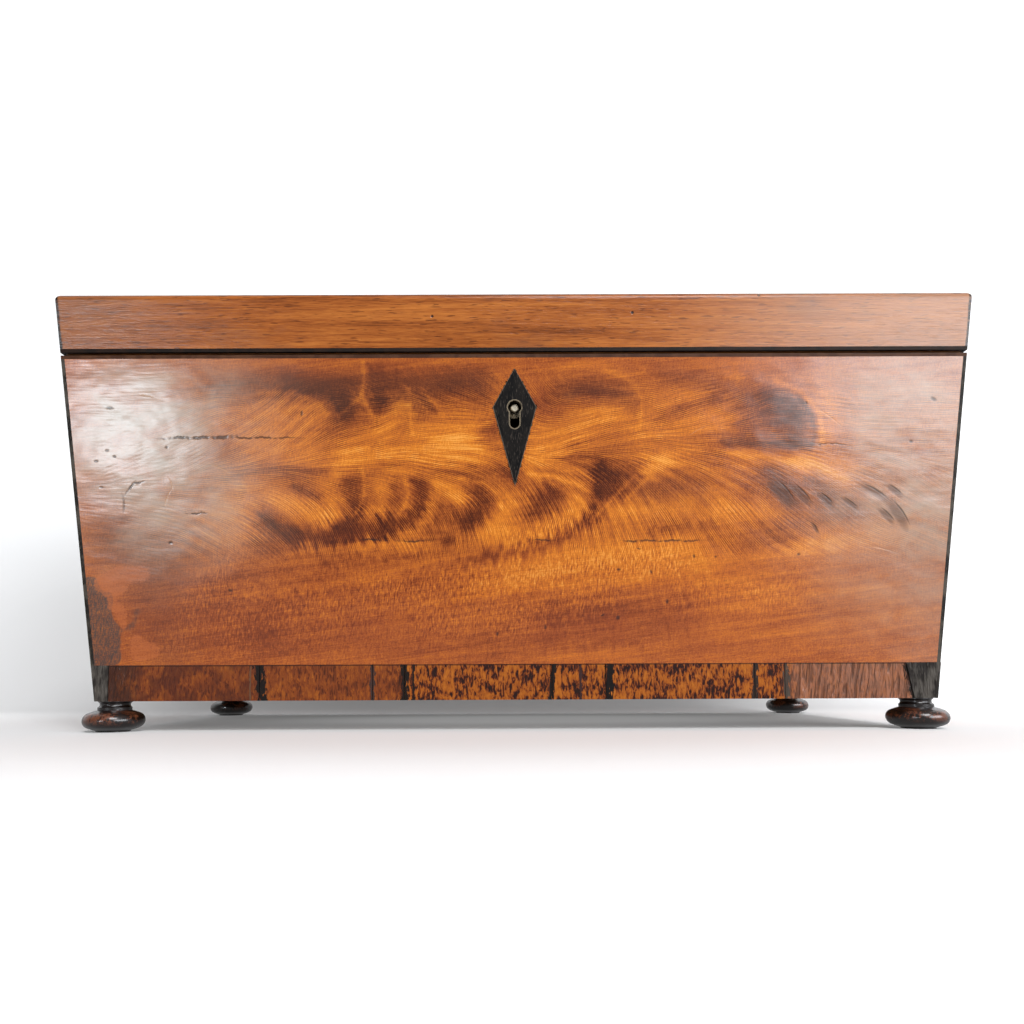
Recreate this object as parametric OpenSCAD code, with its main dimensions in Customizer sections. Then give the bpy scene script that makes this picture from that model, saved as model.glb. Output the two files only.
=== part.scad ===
// Sarcophagus-form double tea caddy with a hinged lid, box lock and turned bun feet.
// Millimetres, +Z up. The origin is on the table, under the middle of the case.
// The front faces -Y. All four walls lean in towards the base by the same slope.

/* [Overall] */
// Width across the top of the lid
overall_w = 305; // [290:1:320]
// Depth across the top of the lid
overall_d = 160; // [156:1:175]
// Height from the table to the top of the lid
overall_h = 142.4; // [138:0.2:150]
// Inward run of every wall for each millimetre of drop
wall_slope = 0.13; // [0.11:0.01:0.14]

/* [Case] */
// Thickness of the carcass boards in the walls
board_t = 9; // [8.6:0.2:10]
// Thickness of the bottom board
bottom_t = 8; // [7:0.5:10]
// Thickness of the saw-cut veneers and of the banding
veneer_t = 1.2; // [1:0.1:1.4]
// Width of the ebony stringing
stringing_w = 1.2; // [1:0.1:1.4]
// Height of the cross-banded base
banding_h = 11.3; // [9:0.1:14]
// Gap left by shrinkage between the pieces of banding
banding_joint = 0.2; // [0.1:0.05:0.4]
// How far the repair patch stands out of the front
patch_proud = 0.35; // [0.1:0.05:0.5]

/* [Feet] */
// Height of a foot below the case
foot_h = 9.6; // [9:0.2:12]
// Height of the flattened bun
bun_h = 7.4; // [6.6:0.2:8]
// Largest radius of the bun
bun_r = 9.4; // [9:0.1:10.5]
// Radius of the neck above the bun
neck_r = 5.2; // [4.6:0.1:6]
// Radius of the dowel that holds the foot in the bottom board
dowel_r = 3.6; // [3:0.1:4]
// Distance of a foot's centre inside the edges of the case
foot_inset = 4.7; // [4.5:0.1:8]

/* [Lid] */
// Height of the lid
lid_h = 20; // [18:0.5:24]
// Gap between the closed lid and the case
lid_gap = 1; // [0.8:0.1:1.4]
// Thickness of the lid's top board
top_board_t = 4.8; // [4:0.2:6]
// Thickness of the lining panel inside the lid
lining_panel_t = 1.5; // [1:0.1:2]
// Radius of the rounded top edges of the lid
lid_edge_r = 2.2; // [1:0.1:2.8]
// Opening angle of the bevels that stop the lid
stop_angle = 100; // [92:1:105]

/* [Hinges] */
// Distance of each hinge from the middle
hinge_x = 98; // [80:1:110]
// Length of each butt hinge
hinge_l = 38; // [30:1:45]
// Radius of the knuckles
knuckle_r = 2; // [1.9:0.1:2.2]
// Radius of the hinge pin
hinge_pin_r = 0.9; // [0.8:0.05:1]
// Depth of the hinge axis inside the back face
axis_inset = 1.6; // [1.4:0.1:1.8]

/* [Lock] */
// Drop from the rim to the centre of the keyhole
key_drop = 17.6; // [17:0.1:18]
// Width of the ebony kite
kite_w = 14.4; // [12:0.2:18]
// Height of the kite above the keyhole centre
kite_up = 13; // [11:0.5:15]
// Depth of the kite below the keyhole centre
kite_down = 26.2; // [22:0.2:30]
// Inner radius of the round part of the keyhole
key_r = 2.2; // [2:0.1:2.4]
// Inner width of the keyhole's slot
key_slot_w = 3.1; // [2.8:0.1:3.4]
// Depth of the slot below the keyhole centre
key_slot_drop = 7; // [6:0.2:8]
// Wall of the keyhole liner
liner_t = 0.4; // [0.3:0.05:0.5]
// Radius of the lock's pin
lock_pin_r = 1.36; // [1.2:0.02:1.4]
// Width of the lock's case
lock_w = 40; // [38:1:44]

/* [Inside] */
// Width of the middle bay between the dividers
bay_w = 102; // [98:1:106]
// Thickness of the dividers
divider_t = 5; // [4:0.5:6]
// Drop from the rim to the top of the covers and the well board
deck_drop = 6.4; // [6:0.2:8]
// Thickness of the covers
cover_t = 4.5; // [4:0.5:5]
// Clearance round each lift-out cover
cover_gap = 0.8; // [0.5:0.1:1.2]
// Side of the fillets that carry the covers and the well board
ledge_w = 5; // [4:0.5:6]
// Thickness of the tin linings
lining_t = 0.8; // [0.6:0.1:1]
// Radius of the hole for the mixing bowl
well_r = 43.5; // [43.2:0.1:45]
// Height of the well floor above the bottom board
well_rise = 17.4; // [15:0.2:20]
// Height of the mixing bowl
bowl_h = 80; // [76:1:82]
// Radius of the mixing bowl at its mouth
bowl_r = 42; // [40:0.5:42.2]
// Wall of the mixing bowl
bowl_t = 3; // [2.5:0.5:4]

/* [Hidden] */

MAHOGANY = "#9a5526";
CARCASS = "#b98a5a";
BANDING = "#7a3d1c";
EBONY = "#221c19";
BRASS = "#c39b4a";
STEEL = "#8f8f8c";
TIN = "#a9abab";
GLASS = "#cfe3e0";
BAIZE = "#3f6b45";
PAPER = "#c9b48c";

$fn = 64;
eps = 1;
slip = 0.05;
slope_angle = atan(wall_slope);

// Levels, from the table up
base_z = foot_h;
band_z = base_z + banding_h;
floor_z = base_z + bottom_t;
lid_z = overall_h - lid_h;
rim_z = lid_z - lid_gap;
axis_z = rim_z + lid_gap / 2;
deck_z = rim_z - deck_drop;
cover_z = deck_z - cover_t;
ledge_z = cover_z - ledge_w;
well_floor_z = floor_z + well_rise;
well_floor_t = 5;
baize_t = 1;
bowl_z = well_floor_z + well_floor_t + baize_t;
rail_top_z = overall_h - veneer_t - top_board_t;
veneer_top_z = overall_h - veneer_t;
keyhole_z = rim_z - key_drop;

inner = veneer_t + board_t;
divider_x = bay_w / 2;
well_x = divider_x + divider_t;

// Half the width and half the depth of the outer surface at a height
function half_w(z) = overall_w / 2 - wall_slope * (overall_h - z);
function half_d(z) = overall_d / 2 - wall_slope * (overall_h - z);

axis_y = half_d(axis_z) - axis_inset;

// ---------- Forms of the sloping box ----------

// Solid across the box whose outline, seen from the front, is set in from the outer faces
module across_front(inset, z0, z1) {
    rotate([90, 0, 0])
        linear_extrude(2 * overall_d, center = true)
            polygon([
                [inset - half_w(z0), z0], [half_w(z0) - inset, z0],
                [half_w(z1) - inset, z1], [inset - half_w(z1), z1]
            ]);
}

// The same, with the outline seen from the side
module across_side(inset, z0, z1) {
    rotate([90, 0, 90])
        linear_extrude(2 * overall_w, center = true)
            polygon([
                [inset - half_d(z0), z0], [half_d(z0) - inset, z0],
                [half_d(z1) - inset, z1], [inset - half_d(z1), z1]
            ]);
}

// Solid block that follows the four sloping faces at a distance inside them
module sloped_block(inset, z0, z1) {
    intersection() {
        across_front(inset, z0, z1);
        across_side(inset, z0, z1);
    }
}

// Sloping slab along the front, between two distances inside the front face
module front_slab(outside, inside, end_inset, z0, z1) {
    intersection() {
        rotate([90, 0, 90])
            linear_extrude(2 * overall_w, center = true)
                polygon([
                    [outside - half_d(z0), z0], [inside - half_d(z0), z0],
                    [inside - half_d(z1), z1], [outside - half_d(z1), z1]
                ]);
        across_front(end_inset, z0, z1);
    }
}

// Sloping slab along the left side
module left_slab(outside, inside, end_inset, z0, z1) {
    intersection() {
        rotate([90, 0, 0])
            linear_extrude(2 * overall_d, center = true)
                polygon([
                    [outside - half_w(z0), z0], [inside - half_w(z0), z0],
                    [inside - half_w(z1), z1], [outside - half_w(z1), z1]
                ]);
        across_side(end_inset, z0, z1);
    }
}

module back_slab(outside, inside, end_inset, z0, z1) {
    mirror([0, 1, 0])
        front_slab(outside, inside, end_inset, z0, z1);
}

module right_slab(outside, inside, end_inset, z0, z1) {
    mirror([1, 0, 0])
        left_slab(outside, inside, end_inset, z0, z1);
}

// Upright slice of the whole height and depth between two places across the box
module slice_x(x0, x1) {
    translate([x0, -overall_d, -eps])
        cube([x1 - x0, 2 * overall_d, overall_h + 2 * eps]);
}

// ---------- Hinge line ----------

// Groove along the back edges. Its two bevels meet when the lid is fully open, and stop it.
module stop_groove() {
    reach = 4 * knuckle_r;
    run = reach * cos(stop_angle / 2);
    rise = reach * sin(stop_angle / 2);
    rotate([90, 0, 90])
        linear_extrude(2 * overall_w, center = true)
            polygon([[axis_y, axis_z], [axis_y + run, axis_z - rise], [axis_y + run, axis_z + rise]]);
}

module on_hinge_axis(x) {
    translate([x, axis_y, axis_z])
        rotate([0, 90, 0])
            children();
}

knuckle_clear = 0.3;
leaf_t = 1.2;
leaf_gap = 0.2;
leaf_inner_y = half_d(rim_z) - inner + 0.1;
knuckle_count = 5;
knuckle_l = hinge_l / knuckle_count;
leaf_end_gap = 0.1;
hinge_screw_pitch = 13;
hinge_screw_y = leaf_inner_y + 3.2;

// Room for the knuckles of both hinges
module knuckle_mortises() {
    for (side = [-1, 1])
        on_hinge_axis(side * hinge_x)
            cylinder(r = knuckle_r + knuckle_clear, h = hinge_l + 2 * knuckle_clear, center = true);
}

// Recesses for the leaves, from one height to another
module leaf_recesses(z0, z1) {
    for (side = [-1, 1])
        translate([side * hinge_x - hinge_l / 2 - leaf_end_gap, leaf_inner_y - eps, z0])
            cube([hinge_l + 2 * leaf_end_gap, axis_y - leaf_inner_y + eps, z1 - z0]);
}

// One leaf with the knuckles of the given order, 0 for the outer and middle ones, 1 for the others
module hinge_leaf(x, z0, order, bore_r, up) {
    difference() {
        union() {
            difference() {
                translate([x - hinge_l / 2, leaf_inner_y, z0])
                    cube([hinge_l, axis_y - leaf_inner_y, leaf_t]);
                on_hinge_axis(x)
                    cylinder(r = knuckle_r + knuckle_clear, h = hinge_l + eps, center = true);
            }
            for (i = [order : 2 : knuckle_count - 1])
                hinge_knuckle(x - hinge_l / 2 + (i + 0.5) * knuckle_l, z0);
        }
        on_hinge_axis(x)
            cylinder(r = bore_r, h = hinge_l + eps, center = true);
        for (i = [-1, 0, 1])
            translate([x + i * hinge_screw_pitch, hinge_screw_y, up ? z0 : z0 + leaf_t])
                mirror([0, 0, up ? 0 : 1])
                    screw_form(slip);
    }
}

module hinge_knuckle(x, z0) {
    l = knuckle_l - knuckle_clear;
    on_hinge_axis(x)
        cylinder(r = knuckle_r, h = l, center = true);
    translate([x - l / 2, axis_y - knuckle_r - 2 * knuckle_clear, z0])
        cube([l, knuckle_r + knuckle_clear, leaf_t]);
}

// ---------- Screws ----------

screw_head_r = 1.9;
screw_r = 1;
screw_head_h = 0.9;
screw_l = 8.5;

// Countersunk screw that stands on its flat head and points up, grown all round by an allowance
module screw_form(grow) {
    translate([0, 0, -grow])
        cylinder(r1 = screw_head_r + grow, r2 = screw_r + grow, h = screw_head_h + grow);
    cylinder(r = screw_r + grow, h = screw_l + grow);
}

module wood_screw() {
    slot_w = 0.5;
    difference() {
        screw_form(0);
        translate([-slot_w / 2, -screw_head_r - eps, -eps])
            cube([slot_w, 2 * screw_head_r + 2 * eps, eps + slot_w]);
    }
}

// Places the screws that hold what is fixed to the rim of the case
module at_case_screws() {
    for (side = [-1, 1]) {
        for (i = [-1, 0, 1])
            translate([side * hinge_x + i * hinge_screw_pitch, hinge_screw_y, rim_leaf_z + leaf_t])
                mirror([0, 0, 1])
                    children();
        translate([side * selvedge_screw_x, plate_screw_y, rim_z])
            mirror([0, 0, 1])
                children();
    }
}

// Places the screws that hold what is fixed under the lid
module at_lid_screws() {
    for (side = [-1, 1]) {
        for (i = [-1, 0, 1])
            translate([side * hinge_x + i * hinge_screw_pitch, hinge_screw_y, lid_leaf_z])
                children();
        translate([side * link_screw_x, plate_screw_y, lid_z])
            children();
    }
}

rim_leaf_z = axis_z - leaf_gap / 2 - leaf_t;
lid_leaf_z = axis_z + leaf_gap / 2;
selvedge_screw_x = lock_w / 2 + 3;
link_screw_x = lock_w / 2 - 4;
plate_screw_y = -half_d(rim_z) + 6.8;

module screw_pilots() {
    at_case_screws()
        screw_form(slip);
    at_lid_screws()
        screw_form(slip);
}

// ---------- Lock line ----------

// Frame on the front face: X along it, Y straight in, Z up the slope, from the keyhole's centre
module lock_frame() {
    translate([0, -half_d(keyhole_z), keyhole_z])
        rotate([slope_angle, 0, 0])
            children();
}

// Extrudes an outline drawn on the front face from one depth to another
module inwards(v0, v1) {
    translate([0, v1, 0])
        rotate([90, 0, 0])
            linear_extrude(v1 - v0)
                children();
}

module keyhole_outline(grow) {
    slot_r = key_slot_w / 2 + grow;
    slot_end = key_slot_drop - key_slot_w / 2;
    circle(r = key_r + grow);
    translate([-slot_r, -slot_end])
        square([2 * slot_r, slot_end]);
    translate([0, -slot_end])
        circle(r = slot_r);
}

module kite_outline() {
    polygon([[0, kite_up], [kite_w / 2, 0], [0, -kite_down], [-kite_w / 2, 0]]);
}

// Depths inside the front face, square to it
lock_front_v = 3.2;
cap_t = 0.8;
lock_back_v = inner * cos(slope_angle);
back_plate_t = 1;
lock_wall_t = 1;
lock_low_w = -10;
lock_high_w = 20;
mortise_gap = 0.1;
selvedge_t = 1.2;
selvedge_w = lock_w + 12;
selvedge_y = -half_d(rim_z) + 3.3;
selvedge_inner_y = -half_d(rim_z) + inner;
link_x = 9;
link_t = 1.6;
link_y = -half_d(rim_z) + 6.95;
link_d = 3.2;
link_wall = 0.5;
link_low_z = rim_z - 6.4;
link_hole_z = rim_z - 5.4;
link_hole_h = 2.9;
slot_gap_x = 0.5;
slot_gap_y = 0.5;

// Everything below the selvedge
module below_selvedge() {
    intersection() {
        children();
        translate([-overall_w, -overall_d, 0])
            cube([2 * overall_w, 2 * overall_d, rim_z - selvedge_t]);
    }
}

module selvedge_block(gap) {
    translate([-selvedge_w / 2 - gap, selvedge_y - gap, rim_z - selvedge_t])
        cube([selvedge_w + 2 * gap, selvedge_inner_y - selvedge_y + gap + (gap > 0 ? eps : 0),
            selvedge_t + (gap > 0 ? eps : 0)]);
}

// What is cut out of the front board for the lock and the keyhole
module lock_mortise() {
    lock_frame() {
        inwards(lock_front_v, lock_back_v + eps)
            translate([-lock_w / 2 - mortise_gap, lock_low_w - mortise_gap])
                square([lock_w + 2 * mortise_gap, lock_high_w - lock_low_w + 2 * mortise_gap]);
        inwards(0, lock_front_v + eps)
            keyhole_outline(liner_t);
    }
    selvedge_block(mortise_gap);
}

// ---------- Case ----------

module case_front_board() {
    color(CARCASS)
        difference() {
            front_slab(veneer_t, inner, veneer_t, floor_z, rim_z);
            lock_mortise();
            screw_pilots();
        }
}

module case_back_board() {
    color(CARCASS)
        difference() {
            back_slab(veneer_t, inner, veneer_t, floor_z, rim_z);
            stop_groove();
            knuckle_mortises();
            leaf_recesses(rim_leaf_z, rim_z + eps);
            screw_pilots();
        }
}

module case_left_board() {
    color(CARCASS)
        left_slab(veneer_t, inner, inner, floor_z, rim_z);
}

module case_right_board() {
    color(CARCASS)
        right_slab(veneer_t, inner, inner, floor_z, rim_z);
}

module case_bottom_board() {
    color(CARCASS)
        difference() {
            sloped_block(veneer_t, base_z, floor_z);
            for (sx = [-1, 1], sy = [-1, 1])
                at_foot(sx, sy)
                    translate([0, 0, foot_h - eps])
                        cylinder(r = dowel_r + slip, h = dowel_l + eps + slip);
        }
}

module front_veneer() {
    color(MAHOGANY)
        difference() {
            front_slab(0, veneer_t, stringing_w, band_z, rim_z - stringing_w);
            lock_frame()
                inwards(-eps, veneer_t + eps)
                    kite_outline();
        }
}

module back_veneer() {
    color(MAHOGANY)
        difference() {
            back_slab(0, veneer_t, stringing_w, band_z, rim_z);
            stop_groove();
            knuckle_mortises();
        }
}

module left_veneer() {
    color(MAHOGANY)
        left_slab(0, veneer_t, stringing_w, band_z, rim_z - stringing_w);
}

module right_veneer() {
    color(MAHOGANY)
        right_slab(0, veneer_t, stringing_w, band_z, rim_z - stringing_w);
}

// Joints of the front banding, from the strip at the left to the patch at the right
strip_x = -131;
patch_top_x = 125.5;
patch_bottom_x = 127.8;
band_joints = [strip_x, -82.5, -46.2, -35.9, 11.4, 28.7, 76.6, 86.3];

module front_banding() {
    last = len(band_joints) - 1;
    color(BANDING) {
        for (i = [0 : last - 1])
            intersection() {
                front_slab(0, veneer_t, 0, base_z, band_z);
                slice_x(band_joints[i] + banding_joint, band_joints[i + 1]);
            }
        intersection() {
            front_slab(0, veneer_t, 0, base_z, band_z);
            patch_side(band_joints[last] + banding_joint, -banding_joint);
        }
    }
}

// Part of the base between a place across the box and the slanting left edge of the patch
module patch_side(far_x, shift) {
    rotate([90, 0, 0])
        linear_extrude(2 * overall_d, center = true)
            polygon([
                [far_x, base_z - eps], [slant_x(base_z - eps) + shift, base_z - eps],
                [slant_x(band_z + eps) + shift, band_z + eps], [far_x, band_z + eps]
            ]);
}

function slant_x(z) = patch_bottom_x + (patch_top_x - patch_bottom_x) * (z - base_z) / banding_h;

module base_corner_patches() {
    color(EBONY) {
        intersection() {
            front_slab(0, veneer_t, 0, base_z, band_z);
            slice_x(-overall_w, strip_x);
        }
        intersection() {
            front_slab(-patch_proud, veneer_t, 0, base_z, band_z);
            patch_side(overall_w, 0);
        }
    }
}

module back_banding() {
    color(BANDING)
        back_slab(0, veneer_t, 0, base_z, band_z);
}

module side_bandings() {
    color(BANDING) {
        left_slab(0, veneer_t, veneer_t, base_z, band_z);
        right_slab(0, veneer_t, veneer_t, base_z, band_z);
    }
}

module corner_stringing() {
    color(EBONY)
        difference() {
            for (mx = [0, 1], my = [0, 1])
                mirror([mx, 0, 0])
                    mirror([0, my, 0])
                        intersection() {
                            front_slab(0, stringing_w, 0, band_z, corner_top_z(my));
                            left_slab(0, stringing_w, 0, band_z, corner_top_z(my));
                        }
            stop_groove();
        }
}

// The front corners stop under the rim stringing, and the back ones run to the rim
function corner_top_z(back) = back == 1 ? rim_z : rim_z - stringing_w;

// Stringing along the front and the two sides, between two heights
module rim_line(z0, z1) {
    difference() {
        union() {
            front_slab(0, stringing_w, 0, z0, z1);
            left_slab(0, stringing_w, stringing_w, z0, z1);
            right_slab(0, stringing_w, stringing_w, z0, z1);
        }
        stop_groove();
    }
}

module case_rim_stringing() {
    color(EBONY)
        rim_line(rim_z - stringing_w, rim_z);
}

escutcheon_proud = 0.15;

module escutcheon() {
    color(EBONY)
        lock_frame()
            inwards(-escutcheon_proud, veneer_t * cos(slope_angle))
                difference() {
                    kite_outline();
                    keyhole_outline(liner_t);
                }
}

module keyhole_liner() {
    color(BRASS)
        lock_frame()
            inwards(-escutcheon_proud, lock_front_v)
                difference() {
                    keyhole_outline(liner_t);
                    keyhole_outline(0);
                }
}

// ---------- Feet ----------

dowel_l = 6;
rim_arc_r = 2.5;
foot_flat_r = 4;

// Radius of the crown arcs that run smoothly into the bun's rim arc
function crown_r(h, a) = (a * a + h * h - rim_arc_r * rim_arc_r) / (2 * (h - rim_arc_r));

module bun_outline() {
    rim_x = bun_r - rim_arc_r;
    half_h = (bun_h + sink) / 2;
    big_r = crown_r(half_h, rim_x);
    join_x = rim_x * big_r / (big_r - rim_arc_r);
    intersection() {
        translate([0, big_r - sink])
            circle(r = big_r, $fn = 180);
        translate([0, bun_h - big_r])
            circle(r = big_r, $fn = 180);
        square([join_x, bun_h]);
    }
    translate([rim_x, bun_h - half_h])
        circle(r = rim_arc_r);
}

// The bun is ground off below by this much, which gives it a flat to stand on
sink = 0.36;

module foot() {
    cove_r = 0.9;
    rotate_extrude($fn = 96)
        intersection() {
            union() {
                bun_outline();
                difference() {
                    square([neck_r, foot_h]);
                    translate([neck_r + 0.3, (bun_h + foot_h) / 2])
                        circle(r = cove_r);
                }
                square([dowel_r, foot_h + dowel_l]);
            }
            square([bun_r + eps, foot_h + dowel_l]);
        }
}

module at_foot(sx, sy) {
    translate([sx * (half_w(base_z) - foot_inset), sy * (half_d(base_z) - foot_inset), 0])
        children();
}

module foot_front_left() {
    color(EBONY)
        at_foot(-1, -1)
            foot();
}

module foot_front_right() {
    color(EBONY)
        at_foot(1, -1)
            foot();
}

module foot_rear_left() {
    color(EBONY)
        at_foot(-1, 1)
            foot();
}

module foot_rear_right() {
    color(EBONY)
        at_foot(1, 1)
            foot();
}

// ---------- Inside of the case ----------

module left_divider() {
    color(MAHOGANY)
        intersection() {
            across_side(inner, floor_z, deck_z);
            slice_x(-well_x, -divider_x);
        }
}

module right_divider() {
    color(MAHOGANY)
        mirror([1, 0, 0])
            left_divider();
}

// Room of a tea well, set in from its walls by a distance
module well_room(inset, z0, z1) {
    intersection() {
        sloped_block(inner + inset, z0, z1);
        slice_x(-overall_w, -well_x - inset);
    }
}

module tin_lining() {
    top_z = ledge_z - slip;
    difference() {
        well_room(0.1, floor_z, top_z);
        well_room(0.1 + lining_t, floor_z + lining_t, top_z + eps);
    }
}

module left_tin_lining() {
    color(TIN)
        tin_lining();
}

module right_tin_lining() {
    color(TIN)
        mirror([1, 0, 0])
            tin_lining();
}

module cover_ledges() {
    color(MAHOGANY)
        for (m = [0, 1])
            mirror([m, 0, 0]) {
                difference() {
                    well_room(0, ledge_z, cover_z);
                    well_room(ledge_w, ledge_z - eps, cover_z + eps);
                }
                intersection() {
                    across_side(inner, ledge_z, cover_z - well_board_extra);
                    slice_x(-divider_x, ledge_w - divider_x);
                }
            }
}

well_board_extra = 0.5;

module well_board() {
    color(MAHOGANY)
        difference() {
            intersection() {
                across_side(inner, cover_z - well_board_extra, deck_z);
                slice_x(-divider_x, divider_x);
            }
            cylinder(r = well_r, h = overall_h, $fn = 128);
        }
}

module well_floor() {
    color(CARCASS)
        intersection() {
            across_side(inner, well_floor_z, well_floor_z + well_floor_t);
            slice_x(-divider_x, divider_x);
        }
}

module well_bearers() {
    bearer_w = 8;
    color(CARCASS)
        for (m = [0, 1])
            mirror([m, 0, 0])
                intersection() {
                    across_side(inner, floor_z, well_floor_z);
                    slice_x(-divider_x, bearer_w - divider_x);
                }
}

module well_baize() {
    color(BAIZE)
        translate([0, 0, bowl_z - baize_t])
            cylinder(r = well_r - 2, h = baize_t, $fn = 96);
}

// Half outline of the bowl, at a distance inside its outer surface
module bowl_outline(inset) {
    turn_r = 18;
    foot_r = bowl_r - 2 - turn_r;
    square([foot_r, turn_r]);
    intersection() {
        translate([foot_r, turn_r])
            circle(r = turn_r - inset, $fn = 96);
        square([bowl_r, turn_r]);
    }
    polygon([
        [0, turn_r], [bowl_r - 2 - inset, turn_r],
        [bowl_r - inset, bowl_h - bowl_t / 2], [0, bowl_h - bowl_t / 2]
    ]);
}

module mixing_bowl() {
    base_t = 4;
    color(GLASS, 0.5)
        translate([0, 0, bowl_z])
            rotate_extrude($fn = 128) {
                difference() {
                    bowl_outline(0);
                    intersection() {
                        translate([0, base_t - bowl_t])
                            bowl_outline(bowl_t);
                        translate([0, base_t])
                            square([bowl_r, bowl_h]);
                    }
                    translate([0, bowl_h - bowl_t])
                        square([bowl_r - bowl_t, bowl_t]);
                }
                translate([bowl_r - bowl_t / 2, bowl_h - bowl_t / 2])
                    circle(r = bowl_t / 2);
            }
}

knob_x = (half_w(deck_z) - inner + well_x) / 2;
peg_r = 2;

module cover_board() {
    difference() {
        well_room(cover_gap, cover_z, deck_z);
        translate([-knob_x, 0, cover_z - eps])
            cylinder(r = peg_r + slip, h = cover_t + 2 * eps);
    }
}

module left_cover() {
    color(MAHOGANY)
        cover_board();
}

module right_cover() {
    color(MAHOGANY)
        mirror([1, 0, 0])
            cover_board();
}

// Turned knob: collar, stem, ball and the peg that holds it
module cover_knob() {
    collar_r = 4.6;
    collar_h = 1.2;
    stem_r = 1.9;
    ball_r = 3.9;
    knob_h = 9.4;
    translate([-knob_x, 0, deck_z])
        rotate_extrude() {
            intersection() {
                translate([0, knob_h - ball_r])
                    circle(r = ball_r);
                square([ball_r, knob_h]);
            }
            square([stem_r, knob_h / 2]);
            square([collar_r - collar_h / 2, collar_h]);
            translate([collar_r - collar_h / 2, collar_h / 2])
                circle(r = collar_h / 2);
            translate([0, -cover_t])
                square([peg_r, cover_t]);
        }
}

module left_cover_knob() {
    color(EBONY)
        cover_knob();
}

module right_cover_knob() {
    color(EBONY)
        mirror([1, 0, 0])
            cover_knob();
}

// ---------- Lock ----------

module lock_body() {
    color(BRASS) {
        below_selvedge()
            lock_frame() {
                inwards(lock_back_v - back_plate_t, lock_back_v)
                    translate([-lock_w / 2, lock_low_w])
                        square([lock_w, lock_high_w - lock_low_w]);
                inwards(lock_front_v + cap_t, lock_back_v)
                    difference() {
                        translate([-lock_w / 2, lock_low_w])
                            square([lock_w, lock_high_w - lock_low_w]);
                        translate([-lock_w / 2 + lock_wall_t, lock_low_w + lock_wall_t])
                            square([lock_w - 2 * lock_wall_t, lock_high_w - lock_low_w]);
                    }
            }
        difference() {
            selvedge_block(0);
            for (side = [-1, 1])
                translate([
                    side * link_x - link_t / 2 - slot_gap_x, link_y - link_d / 2 - slot_gap_y, rim_z - selvedge_t - eps
                ])
                    cube([link_t + 2 * slot_gap_x, link_d + 2 * slot_gap_y, selvedge_t + 2 * eps]);
            at_case_screws()
                screw_form(slip);
        }
    }
}

module lock_cap() {
    color(BRASS)
        below_selvedge()
            lock_frame()
                inwards(lock_front_v, lock_front_v + cap_t)
                    difference() {
                        translate([-lock_w / 2, lock_low_w])
                            square([lock_w, lock_high_w - lock_low_w]);
                        keyhole_outline(0);
                    }
}

// Depths of the thick bar and of the thin fingers of the bolt
bolt_v0 = 4.3;
finger_v0 = 5.7;
finger_v1 = 7.1;
bolt_throw = 4;
bar_low_w = 4.6;
bar_top_w = 8.3;
finger_low_w = 11.9;
finger_top_w = 13.9;
bar_left_x = -17.5;
bar_right_x = 8;
riser_w = 3.1;
finger_l = 4.2;

module lock_bolt() {
    talon_r = 2.6;
    color(STEEL)
        lock_frame() {
            inwards(bolt_v0, finger_v1)
                difference() {
                    translate([bar_left_x, bar_low_w])
                        square([bar_right_x - bar_left_x, bar_top_w - bar_low_w]);
                    translate([-bolt_throw / 2, bar_low_w])
                        circle(r = talon_r);
                }
            for (side = [-1, 1])
                inwards(finger_v0, finger_v1)
                    translate([side * link_x - link_t / 2 - 0.4, 0]) {
                        translate([-finger_l - riser_w, bar_top_w - eps])
                            square([riser_w, finger_top_w - bar_top_w + eps]);
                        translate([-finger_l - eps, finger_low_w])
                            square([finger_l + eps, finger_top_w - finger_low_w]);
                    }
        }
}

module lock_pin() {
    shoulder_r = 2.2;
    shoulder_l = 1;
    tip_v = 1.3;
    back = lock_back_v - back_plate_t;
    color(STEEL)
        lock_frame()
            translate([0, back, 0])
                rotate([90, 0, 0]) {
                    cylinder(r = shoulder_r, h = shoulder_l);
                    cylinder(r = lock_pin_r, h = back - tip_v - 0.3);
                    translate([0, 0, back - tip_v - 0.3])
                        cylinder(r1 = lock_pin_r, r2 = lock_pin_r - 0.3, h = 0.3);
                }
}

// Bowed leaf that bears on the back of the bolt and holds it where the key leaves it
module lock_spring() {
    spring_t = 0.35;
    half_l = 12;
    back = lock_back_v - back_plate_t;
    rise = back - finger_v1 - 0.1;
    arc_r = (half_l * half_l + rise * rise) / (2 * rise);
    color(STEEL)
        lock_frame()
            translate([0, back, bar_low_w + 0.4])
                intersection() {
                    translate([0, arc_r - rise, 0])
                        difference() {
                            cylinder(r = arc_r, h = 3, $fn = 180);
                            translate([0, 0, -eps])
                                cylinder(r = arc_r - spring_t, h = 3 + 2 * eps, $fn = 180);
                        }
                    translate([-half_l, -rise - eps, -eps])
                        cube([2 * half_l, rise + eps, 3 + 2 * eps]);
                }
}

module case_screws() {
    color(BRASS)
        at_case_screws()
            wood_screw();
}

// ---------- Hinges ----------

module left_hinge_case_leaf() {
    color(BRASS)
        hinge_leaf(-hinge_x, rim_leaf_z, 0, hinge_pin_r + slip / 2, false);
}

module right_hinge_case_leaf() {
    color(BRASS)
        hinge_leaf(hinge_x, rim_leaf_z, 0, hinge_pin_r + slip / 2, false);
}

module left_hinge_lid_leaf() {
    color(BRASS)
        hinge_leaf(-hinge_x, lid_leaf_z, 1, hinge_pin_r + slip, true);
}

module right_hinge_lid_leaf() {
    color(BRASS)
        hinge_leaf(hinge_x, lid_leaf_z, 1, hinge_pin_r + slip, true);
}

module hinge_pins() {
    color(BRASS)
        for (side = [-1, 1])
            on_hinge_axis(side * hinge_x)
                cylinder(r = hinge_pin_r, h = hinge_l - knuckle_clear, center = true);
}

// ---------- Lid ----------

module lid_top_board() {
    color(CARCASS)
        sloped_block(veneer_t, rail_top_z, veneer_top_z);
}

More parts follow.
